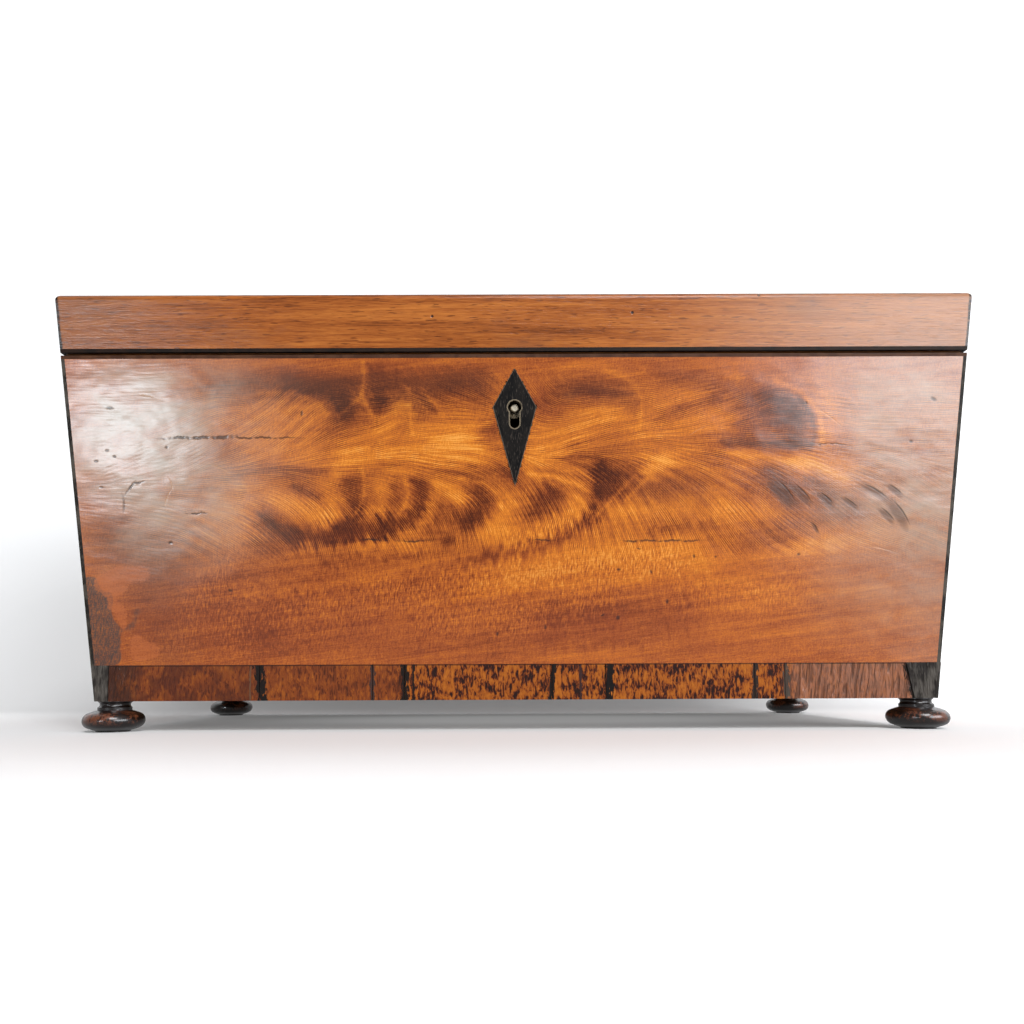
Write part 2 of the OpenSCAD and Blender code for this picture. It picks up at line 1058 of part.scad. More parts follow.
module lid_front_rail() {
    color(CARCASS)
        difference() {
            front_slab(veneer_t, inner, veneer_t, lid_z, rail_top_z);
            translate([-lock_w / 2 - mortise_gap, selvedge_y - mortise_gap, lid_z - eps])
                cube([lock_w + 2 * mortise_gap, board_t, selvedge_t + eps]);
            screw_pilots();
        }
}

module lid_back_rail() {
    color(CARCASS)
        difference() {
            back_slab(veneer_t, inner, veneer_t, lid_z, rail_top_z);
            stop_groove();
            knuckle_mortises();
            leaf_recesses(lid_z - eps, lid_leaf_z + leaf_t);
            screw_pilots();
        }
}

module lid_left_rail() {
    color(CARCASS)
        left_slab(veneer_t, inner, inner, lid_z, rail_top_z);
}

module lid_right_rail() {
    color(CARCASS)
        right_slab(veneer_t, inner, inner, lid_z, rail_top_z);
}

edge_steps = 9;

// What is taken off a top edge, seen along it: all that lies outside an arc which runs
// smoothly into the sloping face and into the flat top
module edge_outline(half) {
    centre = [half - wall_slope * lid_edge_r - lid_edge_r / cos(slope_angle), overall_h - lid_edge_r];
    step = (90 + slope_angle) / edge_steps;
    arc = [
        for (i = [0 : edge_steps])
            centre + lid_edge_r * [cos(i * step - slope_angle), sin(i * step - slope_angle)]
    ];
    polygon(concat(arc, [
        [centre[0], overall_h + eps],
        [half + eps, overall_h + eps],
        centre + (lid_edge_r + eps) * [cos(slope_angle), -sin(slope_angle)]
    ]));
}

// The same for all four top edges of the lid
module lid_top_edges() {
    for (far = [0, 1]) {
        mirror([far, 0, 0])
            rotate([90, 0, 0])
                linear_extrude(2 * overall_d, center = true)
                    edge_outline(overall_w / 2);
        mirror([0, far, 0])
            rotate([90, 0, 90])
                linear_extrude(2 * overall_w, center = true)
                    edge_outline(overall_d / 2);
    }
}

module lid_top_veneer() {
    color(MAHOGANY)
        difference() {
            sloped_block(0, veneer_top_z, overall_h);
            lid_top_edges();
        }
}

module lid_front_veneer() {
    color(MAHOGANY)
        difference() {
            front_slab(0, veneer_t, 0, lid_z + stringing_w, veneer_top_z);
            lid_top_edges();
        }
}

module lid_back_veneer() {
    color(MAHOGANY)
        difference() {
            back_slab(0, veneer_t, 0, lid_z, veneer_top_z);
            stop_groove();
            knuckle_mortises();
            lid_top_edges();
        }
}

module lid_side_veneers() {
    color(MAHOGANY)
        difference() {
            union() {
                left_slab(0, veneer_t, veneer_t, lid_z + stringing_w, veneer_top_z);
                right_slab(0, veneer_t, veneer_t, lid_z + stringing_w, veneer_top_z);
            }
            lid_top_edges();
        }
}

module lid_rim_stringing() {
    color(EBONY)
        rim_line(lid_z, lid_z + stringing_w);
}

module lid_lining_panel() {
    color(PAPER)
        sloped_block(inner + slip, rail_top_z - lining_panel_t, rail_top_z);
}

module link_plate() {
    color(BRASS) {
        difference() {
            translate([-lock_w / 2, selvedge_y, lid_z])
                cube([lock_w, selvedge_inner_y - selvedge_y, selvedge_t]);
            at_lid_screws()
                screw_form(slip);
        }
        for (side = [-1, 1])
            difference() {
                translate([side * link_x - link_t / 2, link_y - link_d / 2, link_low_z])
                    cube([link_t, link_d, lid_z - link_low_z]);
                translate([side * link_x - link_t, link_y - link_d / 2 + link_wall, link_hole_z])
                    cube([2 * link_t, link_d - 2 * link_wall, link_hole_h]);
            }
    }
}

module lid_screws() {
    color(BRASS)
        at_lid_screws()
            wood_screw();
}

case_front_board();
case_back_board();
case_left_board();
case_right_board();
case_bottom_board();
front_veneer();
back_veneer();
left_veneer();
right_veneer();
front_banding();
back_banding();
side_bandings();
base_corner_patches();
corner_stringing();
case_rim_stringing();
escutcheon();
keyhole_liner();
foot_front_left();
foot_front_right();
foot_rear_left();
foot_rear_right();
left_divider();
right_divider();
left_tin_lining();
right_tin_lining();
cover_ledges();
well_board();
well_floor();
well_bearers();
well_baize();
mixing_bowl();
left_cover();
right_cover();
left_cover_knob();
right_cover_knob();
lock_body();
lock_cap();
lock_bolt();
lock_pin();
lock_spring();
case_screws();
left_hinge_case_leaf();
right_hinge_case_leaf();
hinge_pins();
left_hinge_lid_leaf();
right_hinge_lid_leaf();
lid_top_board();
lid_front_rail();
lid_back_rail();
lid_left_rail();
lid_right_rail();
lid_top_veneer();
lid_front_veneer();
lid_back_veneer();
lid_side_veneers();
lid_rim_stringing();
lid_lining_panel();
link_plate();
lid_screws();
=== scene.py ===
# %% [markdown]
# # A mahogany tea caddy
# The caddy is a small sloping chest of about 1825: two tin-lined wells for tea, a glass bowl
# between them, and a lid on two brass hinges. The CAD model holds every piece at its real size.
# This lesson dresses those pieces in polished wood, brass, steel, tin and glass. We start from
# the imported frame, because each new piece has to sit where its CAD piece sits.

# %% Load the frame
import math

import bpy
import numpy as np
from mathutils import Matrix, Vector


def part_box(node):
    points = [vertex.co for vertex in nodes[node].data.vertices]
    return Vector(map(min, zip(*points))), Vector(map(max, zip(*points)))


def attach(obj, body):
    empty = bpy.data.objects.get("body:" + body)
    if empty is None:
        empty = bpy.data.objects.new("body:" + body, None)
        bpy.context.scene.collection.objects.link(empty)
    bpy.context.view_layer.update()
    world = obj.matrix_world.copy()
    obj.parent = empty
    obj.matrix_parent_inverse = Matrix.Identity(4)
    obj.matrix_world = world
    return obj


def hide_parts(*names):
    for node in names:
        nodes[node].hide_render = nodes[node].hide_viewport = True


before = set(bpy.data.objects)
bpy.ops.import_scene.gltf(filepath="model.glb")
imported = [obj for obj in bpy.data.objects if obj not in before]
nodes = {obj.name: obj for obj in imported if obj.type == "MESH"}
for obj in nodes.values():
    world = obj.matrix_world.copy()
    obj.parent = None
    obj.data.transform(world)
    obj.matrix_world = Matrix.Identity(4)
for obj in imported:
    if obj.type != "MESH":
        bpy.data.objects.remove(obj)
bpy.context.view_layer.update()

# %% [markdown]
# Three small habits keep the work safe. Everything is let go before a new piece starts, because
# an operator acts on all that is selected. Edges and faces are picked by where they lie. Colours
# are written as a painter would mix them, then turned into the linear light that the shaders
# count in.

# %% Working habits
MM = 0.001


def let_go():
    """Leave edit mode and deselect everything."""
    if bpy.context.object and bpy.context.object.mode != "OBJECT":
        bpy.ops.object.mode_set(mode="OBJECT")
    bpy.ops.object.select_all(action="DESELECT")


def pick(piece, kind, chosen):
    """Select the edges or faces of a piece whose corners pass a test, and stay in edit mode."""
    bpy.ops.object.mode_set(mode="EDIT")
    bpy.ops.mesh.select_mode(type=kind)
    bpy.ops.mesh.select_all(action="DESELECT")
    bpy.ops.object.mode_set(mode="OBJECT")
    corners = piece.data.vertices
    for part in piece.data.edges if kind == "EDGE" else piece.data.polygons:
        part.select = chosen([corners[i].co for i in part.vertices])
    bpy.ops.object.mode_set(mode="EDIT")


def mixed(code):
    """Linear colour, with an alpha of 1, of a #rrggbb code."""
    parts = [int(code[i : i + 2], 16) / 255 for i in (1, 3, 5)]
    return tuple(c / 12.92 if c < 0.04045 else ((c + 0.055) / 1.055) ** 2.4 for c in parts) + (1.0,)


print("mahogany in linear light:", [round(c, 3) for c in mixed("#a85f2c")])

# %% [markdown]
# ## The studio
# A caddy looks its best from a low table edge, with the lens just above the feet and tilted up,
# so the front looms and the base line stays level. The camera stands close, so its lens is wide.

# %% Camera
let_go()
bpy.ops.object.camera_add(
    location=(-0.0068, -0.3207, 0.0163),
    rotation=(math.radians(101.274), math.radians(0.234), math.radians(-0.067)),
)
camera = bpy.context.object
camera.name = "camera"
camera.data.sensor_width = 36
camera.data.lens = 27.593
camera.data.shift_x = 0.0157
camera.data.shift_y = 0.0098
camera.data.clip_start = 0.01
bpy.context.scene.camera = camera
bpy.context.scene.view_settings.view_transform = "Standard"
print("lens", camera.data.lens, "mm at", tuple(round(v, 3) for v in camera.location))

# %% [markdown]
# The caddy stands on a sheet of white paper that bends up behind it. A plane is stretched to the
# paper's size, its back edge is extruded upwards, and the fold is bevelled into a curve. The
# sheet ends a little way in front, so that the polish mirrors the dark room there and not the
# paper.

# %% Paper sweep
PAPER_FRONT = 0.34
PAPER_BACK = 0.22
PAPER_FOLD = 0.10
PAPER_WIDTH = 2.4
PAPER_RISE = 2.5
let_go()
bpy.ops.mesh.primitive_plane_add(size=1, location=(0, 0, 0))
paper = bpy.context.object
paper.name = "paper_sweep"
bpy.ops.object.mode_set(mode="EDIT")
bpy.ops.mesh.select_all(action="SELECT")
bpy.ops.transform.resize(value=(PAPER_WIDTH, PAPER_FRONT + PAPER_BACK, 1))
bpy.ops.transform.translate(value=(0, (PAPER_BACK - PAPER_FRONT) / 2, 0))
pick(paper, "EDGE", lambda ends: all(v.y > PAPER_BACK - MM for v in ends))
bpy.ops.mesh.extrude_region_move(TRANSFORM_OT_translate={"value": (0, 0, PAPER_RISE)})
pick(paper, "EDGE", lambda ends: all(v.y > PAPER_BACK - MM and v.z < MM for v in ends))
bpy.ops.mesh.bevel(offset=PAPER_FOLD, segments=16)
bpy.ops.object.mode_set(mode="OBJECT")
bpy.ops.object.shade_smooth()
print("paper faces:", len(paper.data.polygons))

# %% [markdown]
# The camera sees white paper with painted shadow: it dims in soft pools behind and under the caddy.
# All other light meets paper that is grey low down and paler higher up: the floor then throws
# little light at the foot of the front, while the sheet behind still lights the back. The paper
# also glows a little, for the camera and for mirrors alone, which adds no light to the object, and
# under the caddy it glows more, a painted light on the floor there. Seen from behind it is clear.

# %% Paper finish
OWN_LIGHT = 0.14
OWN_LIGHT_UNDER = 0.26
PAINTED_SHADOW_POOLS = (
    # middle, reach, value at the middle
    ((-0.10, 0.20, 0.0), (0.36, 0.17, 0.16), 0.62),
    ((0.0, 0.17, 0.0), (0.27, 0.22, 0.05), 0.32),
    ((-0.03, -0.05, 0.0), (0.27, 0.17, 0.05), 0.74),
)
paper_finish = bpy.data.materials.new("studio_paper")
paper_finish.use_nodes = True
tree = paper_finish.node_tree
tree.nodes.clear()


def linked(kind, *values):
    """A new node of the tree at hand, with its first sockets fed by values or by other nodes."""
    node = tree.nodes.new(kind)
    for socket, value in zip(node.inputs, values):
        if isinstance(value, bpy.types.NodeSocket):
            tree.links.new(value, socket)
        elif value is not None:
            socket.default_value = value
    return node


def reckoned(how, first, second):
    """Two values put through one step of arithmetic."""
    node = linked("ShaderNodeMath", first, second)
    node.operation = how
    return node.outputs[0]


def pool(middle, reach, inside, outside=1.0):
    """A soft round patch on the paper, with one value at its middle and another outside it."""
    patch = linked("ShaderNodeMapping", where.outputs["Object"], middle, None, reach)
    patch.vector_type = "TEXTURE"
    far = linked("ShaderNodeVectorMath", patch.outputs[0])
    far.operation = "LENGTH"
    soft = linked("ShaderNodeMapRange", far.outputs["Value"], 0.3, 1.1, inside, outside)
    soft.interpolation_type = "SMOOTHSTEP"
    return soft.outputs[0]


where = linked("ShaderNodeTexCoord")
ray = linked("ShaderNodeLightPath")
height = linked("ShaderNodeSeparateXYZ", where.outputs["Object"])
thrown = linked("ShaderNodeMapRange", height.outputs["Z"], 0.03, 0.15, 0.33, 0.80)
painted_shadow = pool(*PAINTED_SHADOW_POOLS[0])
for one in PAINTED_SHADOW_POOLS[1:]:
    painted_shadow = reckoned("MULTIPLY", painted_shadow, pool(*one))
white = linked("ShaderNodeMix", ray.outputs["Is Camera Ray"])
white.data_type = "RGBA"
tree.links.new(thrown.outputs[0], white.inputs[6])
tree.links.new(painted_shadow, white.inputs[7])
sheet = linked("ShaderNodeBsdfDiffuse", white.outputs[2])
eyes = reckoned("MAXIMUM", ray.outputs["Is Camera Ray"], ray.outputs["Is Glossy Ray"])
# Painted light: under the caddy the paper glows more, for the camera and for mirrors.
under = pool((0.01, 0.005, 0.0), (0.14, 0.05, 0.05), OWN_LIGHT_UNDER, OWN_LIGHT)
glow = linked("ShaderNodeEmission", None, reckoned("MULTIPLY", eyes, under))
lit = linked("ShaderNodeAddShader", sheet.outputs[0], glow.outputs[0])
clear = linked("ShaderNodeBsdfTransparent")
side = linked("ShaderNodeNewGeometry")
either = linked("ShaderNodeMixShader", side.outputs["Backfacing"], lit.outputs[0], clear.outputs[0])
linked("ShaderNodeOutputMaterial", either.outputs[0])
paper.data.materials.append(paper_finish)
print("paper finish:", len(tree.nodes), "nodes")

# %% [markdown]
# The room is white to the camera and through glass, and pale in mirrors that look towards the
# paper. Behind the camera a studio is dark, and a polished front shows that darkness, which is
# what lets the figure of the wood stay deep. The light that the room sheds on the caddy is soft
# and plain.

# %% Room light
ROOM_SHED = 0.13
MIRROR_DARK = 0.096
MIRROR_PALE = 0.8
world = bpy.data.worlds.new("studio")
bpy.context.scene.world = world
world.use_nodes = True
tree = world.node_tree
tree.nodes.clear()
ray = linked("ShaderNodeLightPath")
outlook = linked("ShaderNodeTexCoord")
split = linked("ShaderNodeSeparateXYZ", outlook.outputs["Generated"])
behind = linked("ShaderNodeMapRange", split.outputs["Y"], -0.35, 0.25, MIRROR_DARK, MIRROR_PALE)
mirrored = linked("ShaderNodeMix", ray.outputs["Is Glossy Ray"], None, ROOM_SHED, behind.outputs[0])
eyes = reckoned("MAXIMUM", ray.outputs["Is Camera Ray"], ray.outputs["Is Transmission Ray"])
level = linked("ShaderNodeMix", eyes, None, mirrored.outputs[0], 1.0)
room = linked("ShaderNodeBackground", (1, 1, 1, 1), level.outputs[0])
linked("ShaderNodeOutputWorld", room.outputs[0])
print("room light:", len(tree.nodes), "nodes")

# %% [markdown]
# Three soft boxes light the front. A small one at the left shines back from the polish as a round
# glare, and a long one at the right gives a wide haze. Both are a little cool, as window light
# is. The third, high and to the right, is the key: it throws the shadow to the left and behind.

# %% Soft boxes
def soft_box(name, place, target, size, watts, tint):
    """A rectangular lamp at a place, turned to shine on a target."""
    let_go()
    bpy.ops.object.light_add(type="AREA", location=place)
    lamp = bpy.context.object
    lamp.name = name
    lamp.data.shape = "RECTANGLE"
    lamp.data.size, lamp.data.size_y = size
    lamp.data.energy = watts
    lamp.data.color = tint
    lamp.rotation_mode = "QUATERNION"
    lamp.rotation_quaternion = (Vector(target) - lamp.location).to_track_quat("-Z", "Y")
    print(name, "radiance", round(watts / (math.pi * size[0] * size[1]), 1))


soft_box(
    "lamp_left", place=(-0.693, -1.245, 0.159), target=(-0.131, -0.074, 0.096),
    size=(0.135, 0.135), watts=2.2, tint=(0.90, 1.0, 1.08),
)
soft_box(
    "lamp_right", place=(1.15, -1.14, 0.38), target=(0.13, -0.075, 0.10),
    size=(1.35, 0.55), watts=20.0, tint=(0.96, 1.0, 1.05),
)
soft_box(
    "lamp_key", place=(0.62, -2.10, 1.95), target=(0, 0, 0.05),
    size=(1.2, 1.2), watts=54.0, tint=(1.0, 1.0, 1.01),
)

# %% [markdown]
# ## Finishes
# Every finish is built from nodes, in the place of the piece, so that grain runs through an
# object as it does through wood. The bench below keeps that short. Its `laid` lays out a pattern:
# it gives the size of one feature along, across and down, the way it is turned, and where its
# middle lies. Its `span` stretches a range of values onto another, and `over` lays a colour on
# top of another.

# %% The finisher's bench
class Finish:
    """A procedural finish. Each call adds nodes and gives back what they put out."""

    def __init__(self, name, roughness=0.5, metal=0.0, coat=0.0, coat_roughness=0.1, gloss=0.5):
        self.material = bpy.data.materials.new(name)
        self.material.use_nodes = True
        self.tree = self.material.node_tree
        self.shader = self.tree.nodes["Principled BSDF"]
        self.shader.inputs["Roughness"].default_value = roughness
        self.shader.inputs["Metallic"].default_value = metal
        self.shader.inputs["Coat Weight"].default_value = coat
        self.shader.inputs["Coat Roughness"].default_value = coat_roughness
        self.shader.inputs["Specular IOR Level"].default_value = gloss
        self.place = self.tree.nodes.new("ShaderNodeTexCoord").outputs["Object"]

    def feed(self, socket, value):
        if isinstance(value, bpy.types.NodeSocket):
            self.tree.links.new(value, socket)
        else:
            socket.default_value = mixed(value) if isinstance(value, str) else value

    def laid(self, size, turn=(0, 0, 0), middle=(0, 0, 0)):
        node = self.tree.nodes.new("ShaderNodeMapping")
        node.vector_type = "TEXTURE"
        self.feed(node.inputs["Vector"], self.place)
        node.inputs["Location"].default_value = middle
        node.inputs["Rotation"].default_value = [math.radians(a) for a in turn]
        node.inputs["Scale"].default_value = size
        return node.outputs[0]

    def noise(self, over, detail=2.0, roughness=0.5, bend=0.0):
        node = self.tree.nodes.new("ShaderNodeTexNoise")
        self.feed(node.inputs["Vector"], over)
        node.inputs["Scale"].default_value = 1.0
        node.inputs["Detail"].default_value = detail
        node.inputs["Roughness"].default_value = roughness
        node.inputs["Distortion"].default_value = bend
        return node.outputs["Fac"]

    def cells(self, over, out="Distance"):
        node = self.tree.nodes.new("ShaderNodeTexVoronoi")
        self.feed(node.inputs["Vector"], over)
        node.inputs["Scale"].default_value = 1.0
        return node.outputs[out]

    def hairs(self, over, length, width, lean):
        """Fine strokes that follow a lean given in radians, wherever they are."""
        node = self.tree.nodes.new("ShaderNodeTexGabor")
        node.gabor_type = "2D"
        self.feed(node.inputs["Vector"], over)
        node.inputs["Scale"].default_value = 1 / length
        node.inputs["Frequency"].default_value = length / width
        node.inputs["Anisotropy"].default_value = 1.0
        self.feed(node.inputs[4], lean)
        return node.outputs["Value"]

    def reckon(self, how, first, second=0.0, held=False):
        """One step of arithmetic, held between 0 and 1 if asked."""
        node = self.tree.nodes.new("ShaderNodeMath")
        node.operation = how
        node.use_clamp = held
        self.feed(node.inputs[0], first)
        self.feed(node.inputs[1], second)
        return node.outputs[0]

    def sum(self, *values):
        total = values[0]
        for value in values[1:]:
            total = self.reckon("ADD", total, value)
        return total

    def less(self, first, second):
        return self.reckon("SUBTRACT", first, second)

    def times(self, first, second, held=False):
        return self.reckon("MULTIPLY", first, second, held)

    def most(self, first, second):
        return self.reckon("MAXIMUM", first, second)

    def least(self, first, second):
        return self.reckon("MINIMUM", first, second)

    def aside(self, value):
        """How far a value lies from zero, on either side."""
        return self.reckon("ABSOLUTE", value)

    def mottle(self, broad, fine):
        """A broad pattern with a little of a fine one in it."""
        return self.sum(self.times(broad, 0.7), self.times(fine, 0.3))

    def span(self, value, low, high, to_low=0.0, to_high=1.0, soft=True):
        node = self.tree.nodes.new("ShaderNodeMapRange")
        node.interpolation_type = "SMOOTHSTEP" if soft else "LINEAR"
        self.feed(node.inputs["Value"], value)
        limits = {"From Min": low, "From Max": high, "To Min": to_low, "To Max": to_high}
        for name, number in limits.items():
            node.inputs[name].default_value = number
        return node.outputs[0]

    def colours(self, value, *stops):
        node = self.tree.nodes.new("ShaderNodeValToRGB")
        self.feed(node.inputs[0], value)
        band = node.color_ramp
        while len(band.elements) < len(stops):
            band.elements.new(0.5)
        for element, (at, code) in zip(band.elements, stops):
            element.position = at
            element.color = mixed(code)
        return node.outputs[0]

    def over(self, share, under, top):
        node = self.tree.nodes.new("ShaderNodeMix")
        node.data_type = "RGBA"
        self.feed(node.inputs[0], share)
        self.feed(node.inputs[6], under)
        self.feed(node.inputs[7], top)
        return node.outputs[2]

    def axis(self, letter, over=None):
        node = self.tree.nodes.new("ShaderNodeSeparateXYZ")
        self.feed(node.inputs[0], over or self.place)
        return node.outputs[letter]

    def written(self, name, out="Fac"):
        node = self.tree.nodes.new("ShaderNodeAttribute")
        node.attribute_name = name
        return node.outputs[out]

    def relief(self, height, depth, below=None):
        node = self.tree.nodes.new("ShaderNodeBump")
        node.inputs["Strength"].default_value = 1.0
        node.inputs["Distance"].default_value = depth
        self.feed(node.inputs["Height"], height)
        if below is not None:
            self.feed(node.inputs["Normal"], below)
        return node.outputs[0]

    def done(self, colour, relief, roughness=None):
        self.feed(self.shader.inputs["Base Color"], colour)
        self.feed(self.shader.inputs["Normal"], relief)
        self.feed(self.shader.inputs["Coat Normal"], relief)
        if roughness is not None:
            self.feed(self.shader.inputs["Roughness"], roughness)
        return self.material


def dress(material, *names):
    """Put a finish on CAD pieces."""
    for name in names:
        piece = nodes[name]
        if not piece.material_slots:
            piece.data.materials.append(material)
        for slot in piece.material_slots:
            slot.material = material
    print(material.name, "on", len(names), "pieces")


print("bench ready")

# %% [markdown]
# Plain mahogany has a long straight grain with short dark pores. Noises stretched along the grain
# give it: broad bands, fine streaks, fibres and pores. The French polish over it is a thin clear
# coat. Old boxes are dented, so dark pits are scattered by a cell pattern that keeps only some of
# its cells. The lid keeps the most. It is also darker along its edges and towards the left, and to
# the right it has a painted haze of light, the reflection of the right soft box.

# %% Straight mahogany
SLOPE = 0.13
TOP_Z = 142.4 * MM
LID_FOOT_Z = 122.4 * MM
HALF_WIDTH = 152.5 * MM
HALF_DEPTH = 80.0 * MM
SIDE_REDS = ("#5f2c12", "#98501f", "#b5692a")
LID_REDS = ("#65300f", "#a15722", "#c07230")
INNER_REDS = ("#552614", "#83431f", "#9c5a29")


def straight_mahogany(name, along="X", shift=0.0, reds=SIDE_REDS, pits=0.5, edge=None):
    """Straight grain in a dark, a middle and a light red, with a share of pits."""
    wood = Finish(name, roughness=0.42, coat=0.6, coat_roughness=0.2, gloss=0.1)
    turn = (0, 0, 90) if along == "Y" else (0, 0, 0)
    middle = (shift, shift, shift)
    bands = wood.noise(wood.laid((0.13, 0.007, 0.007), turn, middle), 4.0, 0.62, 0.8)
    streaks = wood.noise(wood.laid((0.022, 0.00075, 0.00075), turn, middle), 3.0, 0.65, 0.3)
    fibres = wood.noise(wood.laid((0.0045, 0.00028, 0.00028), turn, middle), 2.0, 0.6)
    tone = wood.sum(wood.times(bands, 0.42), wood.times(streaks, 0.34), wood.times(fibres, 0.30))
    skin = wood.colours(tone, *zip((0.38, 0.52, 0.66), reds))
    pores = wood.noise(wood.laid((0.0045, 0.0005, 0.0005), turn, (shift + 0.4, shift, shift)), 1.0)
    skin = wood.over(wood.times(wood.span(pores, 0.61, 0.70), 0.6), skin, "#4a1f0f")
    soiled = wood.noise(wood.laid((0.03, 0.014, 0.014), turn, middle), 3.0, 0.6)
    skin = wood.over(wood.span(soiled, 0.54, 0.72, 0.0, 0.35), skin, "#6d4636")
    cell = wood.laid((0.010, 0.010, 0.010), middle=middle)
    limit = 1.0 - 0.22 * pits
    kept = wood.span(wood.axis("X", wood.cells(cell, "Color")), limit, limit + 0.01)
    pit = wood.times(wood.span(wood.cells(cell), 0.07, 0.035), kept)
    skin = wood.over(pit, skin, "#2a140c")
    if edge:
        # Painted light: a pale haze to the right, the reflection of the right soft box. Towards the
        # left and along the edges the wood is darker.
        across = wood.sum(wood.axis("X"), wood.times(bands, 0.05))
        skin = wood.over(wood.span(across, 0.06, 0.17, 0.0, 0.42), skin, "#c3a086")
        skin = wood.over(wood.span(across, -0.06, -0.13, 0.0, 0.35), skin, "#755848")
        darker_edges = wood.times(edge(wood), wood.span(streaks, 0.3, 0.5, 0.6, 1.0))
        skin = wood.over(darker_edges, skin, "#241a14")
    rise = wood.relief(wood.noise(wood.laid((0.05, 0.012, 0.012), turn)), 0.0004)
    rise = wood.relief(wood.sum(streaks, fibres, wood.times(pit, -2.0)), 0.00005, rise)
    return wood.done(skin, rise)


def lid_edges(wood):
    """One along the edges of the lid and zero elsewhere, from how far inside them a place lies."""
    drop = wood.sum(wood.times(wood.axis("Z"), -SLOPE), SLOPE * TOP_Z)
    in_x = wood.less(wood.less(HALF_WIDTH, drop), wood.aside(wood.axis("X")))
    in_y = wood.less(wood.less(HALF_DEPTH, drop), wood.aside(wood.axis("Y")))
    in_z = wood.less(TOP_Z, wood.axis("Z"))
    inside = wood.most(wood.least(in_x, in_y), wood.least(wood.most(in_x, in_y), in_z))
    above = wood.less(wood.axis("Z"), LID_FOOT_Z)
    ragged = wood.times(wood.noise(wood.laid((0.004, 0.004, 0.004))), 0.0006)
    return wood.span(wood.sum(wood.least(inside, above), ragged), 0.0015, 0.0009)


lid_mahogany = straight_mahogany("lid_mahogany", "X", 0.013, LID_REDS, pits=2.4, edge=lid_edges)
lid_end_mahogany = straight_mahogany("lid_end_mahogany", "Y", 0.17, pits=1.6, edge=lid_edges)
side_mahogany = straight_mahogany("side_mahogany", "Y", 0.21)
back_mahogany = straight_mahogany("back_mahogany", "X", 0.37)
inner_mahogany = straight_mahogany("inner_mahogany", "Y", 0.55, INNER_REDS, pits=0.2)
dress(lid_mahogany, "lid_front_veneer", "lid_top_veneer", "lid_back_veneer")
dress(side_mahogany, "left_veneer", "right_veneer")
dress(lid_end_mahogany, "lid_side_veneers")
dress(back_mahogany, "back_veneer")
dress(inner_mahogany, "left_divider", "right_divider", "cover_ledges", "left_cover", "right_cover")
dress(inner_mahogany, "well_board", "well_floor", "well_bearers")

# %% [markdown]
# ## The figured front
# The front is one leaf cut from a crotch, where the trunk forks. The grain swirls there, and light
# and dark flames stand across it. A leaf like this can be painted on its own mesh: the sheet is
# made of small squares, and every corner carries how dark the figure is and which way the grain
# runs. The sheet starts as a plane, its foot is narrowed to the slope of the case, and its edges
# are cut across until the squares are under a millimetre.

# %% Cut the leaf
leaf_low, leaf_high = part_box("front_veneer")
leaf_height = leaf_high.z - leaf_low.z
foot_half = leaf_high.x - SLOPE * leaf_height
foot_y = leaf_low.y + SLOPE * leaf_height


def is_level(ends):
    return abs(ends[0].z - ends[1].z) < 1e-5


def is_rising(ends):
    return not is_level(ends)


let_go()
bpy.ops.mesh.primitive_plane_add(size=1, location=(0, 0, 0))
leaf = bpy.context.object
leaf.name = "figured_front"
bpy.ops.object.mode_set(mode="EDIT")
bpy.ops.transform.resize(value=(2 * leaf_high.x, leaf_height, 1))
bpy.ops.object.mode_set(mode="OBJECT")
for point in leaf.data.vertices:
    top = point.co.y > 0
    point.co = (
        math.copysign(leaf_high.x if top else foot_half, point.co.x),
        leaf_low.y if top else foot_y,
        leaf_high.z if top else leaf_low.z,
    )
for chosen, cuts in ((is_level, 19), (is_level, 19), (is_rising, 9), (is_rising, 13)):
    pick(leaf, "EDGE", chosen)
    bpy.ops.mesh.subdivide(number_cuts=cuts)
bpy.ops.object.mode_set(mode="OBJECT")
print("leaf squares:", len(leaf.data.polygons))

# %% [markdown]
# Two hundred years have marked the front. Shrinkage has opened fine cracks along two lines, small
# knocks have left stained pits, and something round has bruised the right-hand side. Along the
# upper rim of each bruise lies a dark crescent of painted shade. Each mark is a lens: its middle,
# half its length and width in millimetres, its lean in degrees, and how far its ends bow. The
# squares near a mark are cut four times finer, so that it can be pressed in.

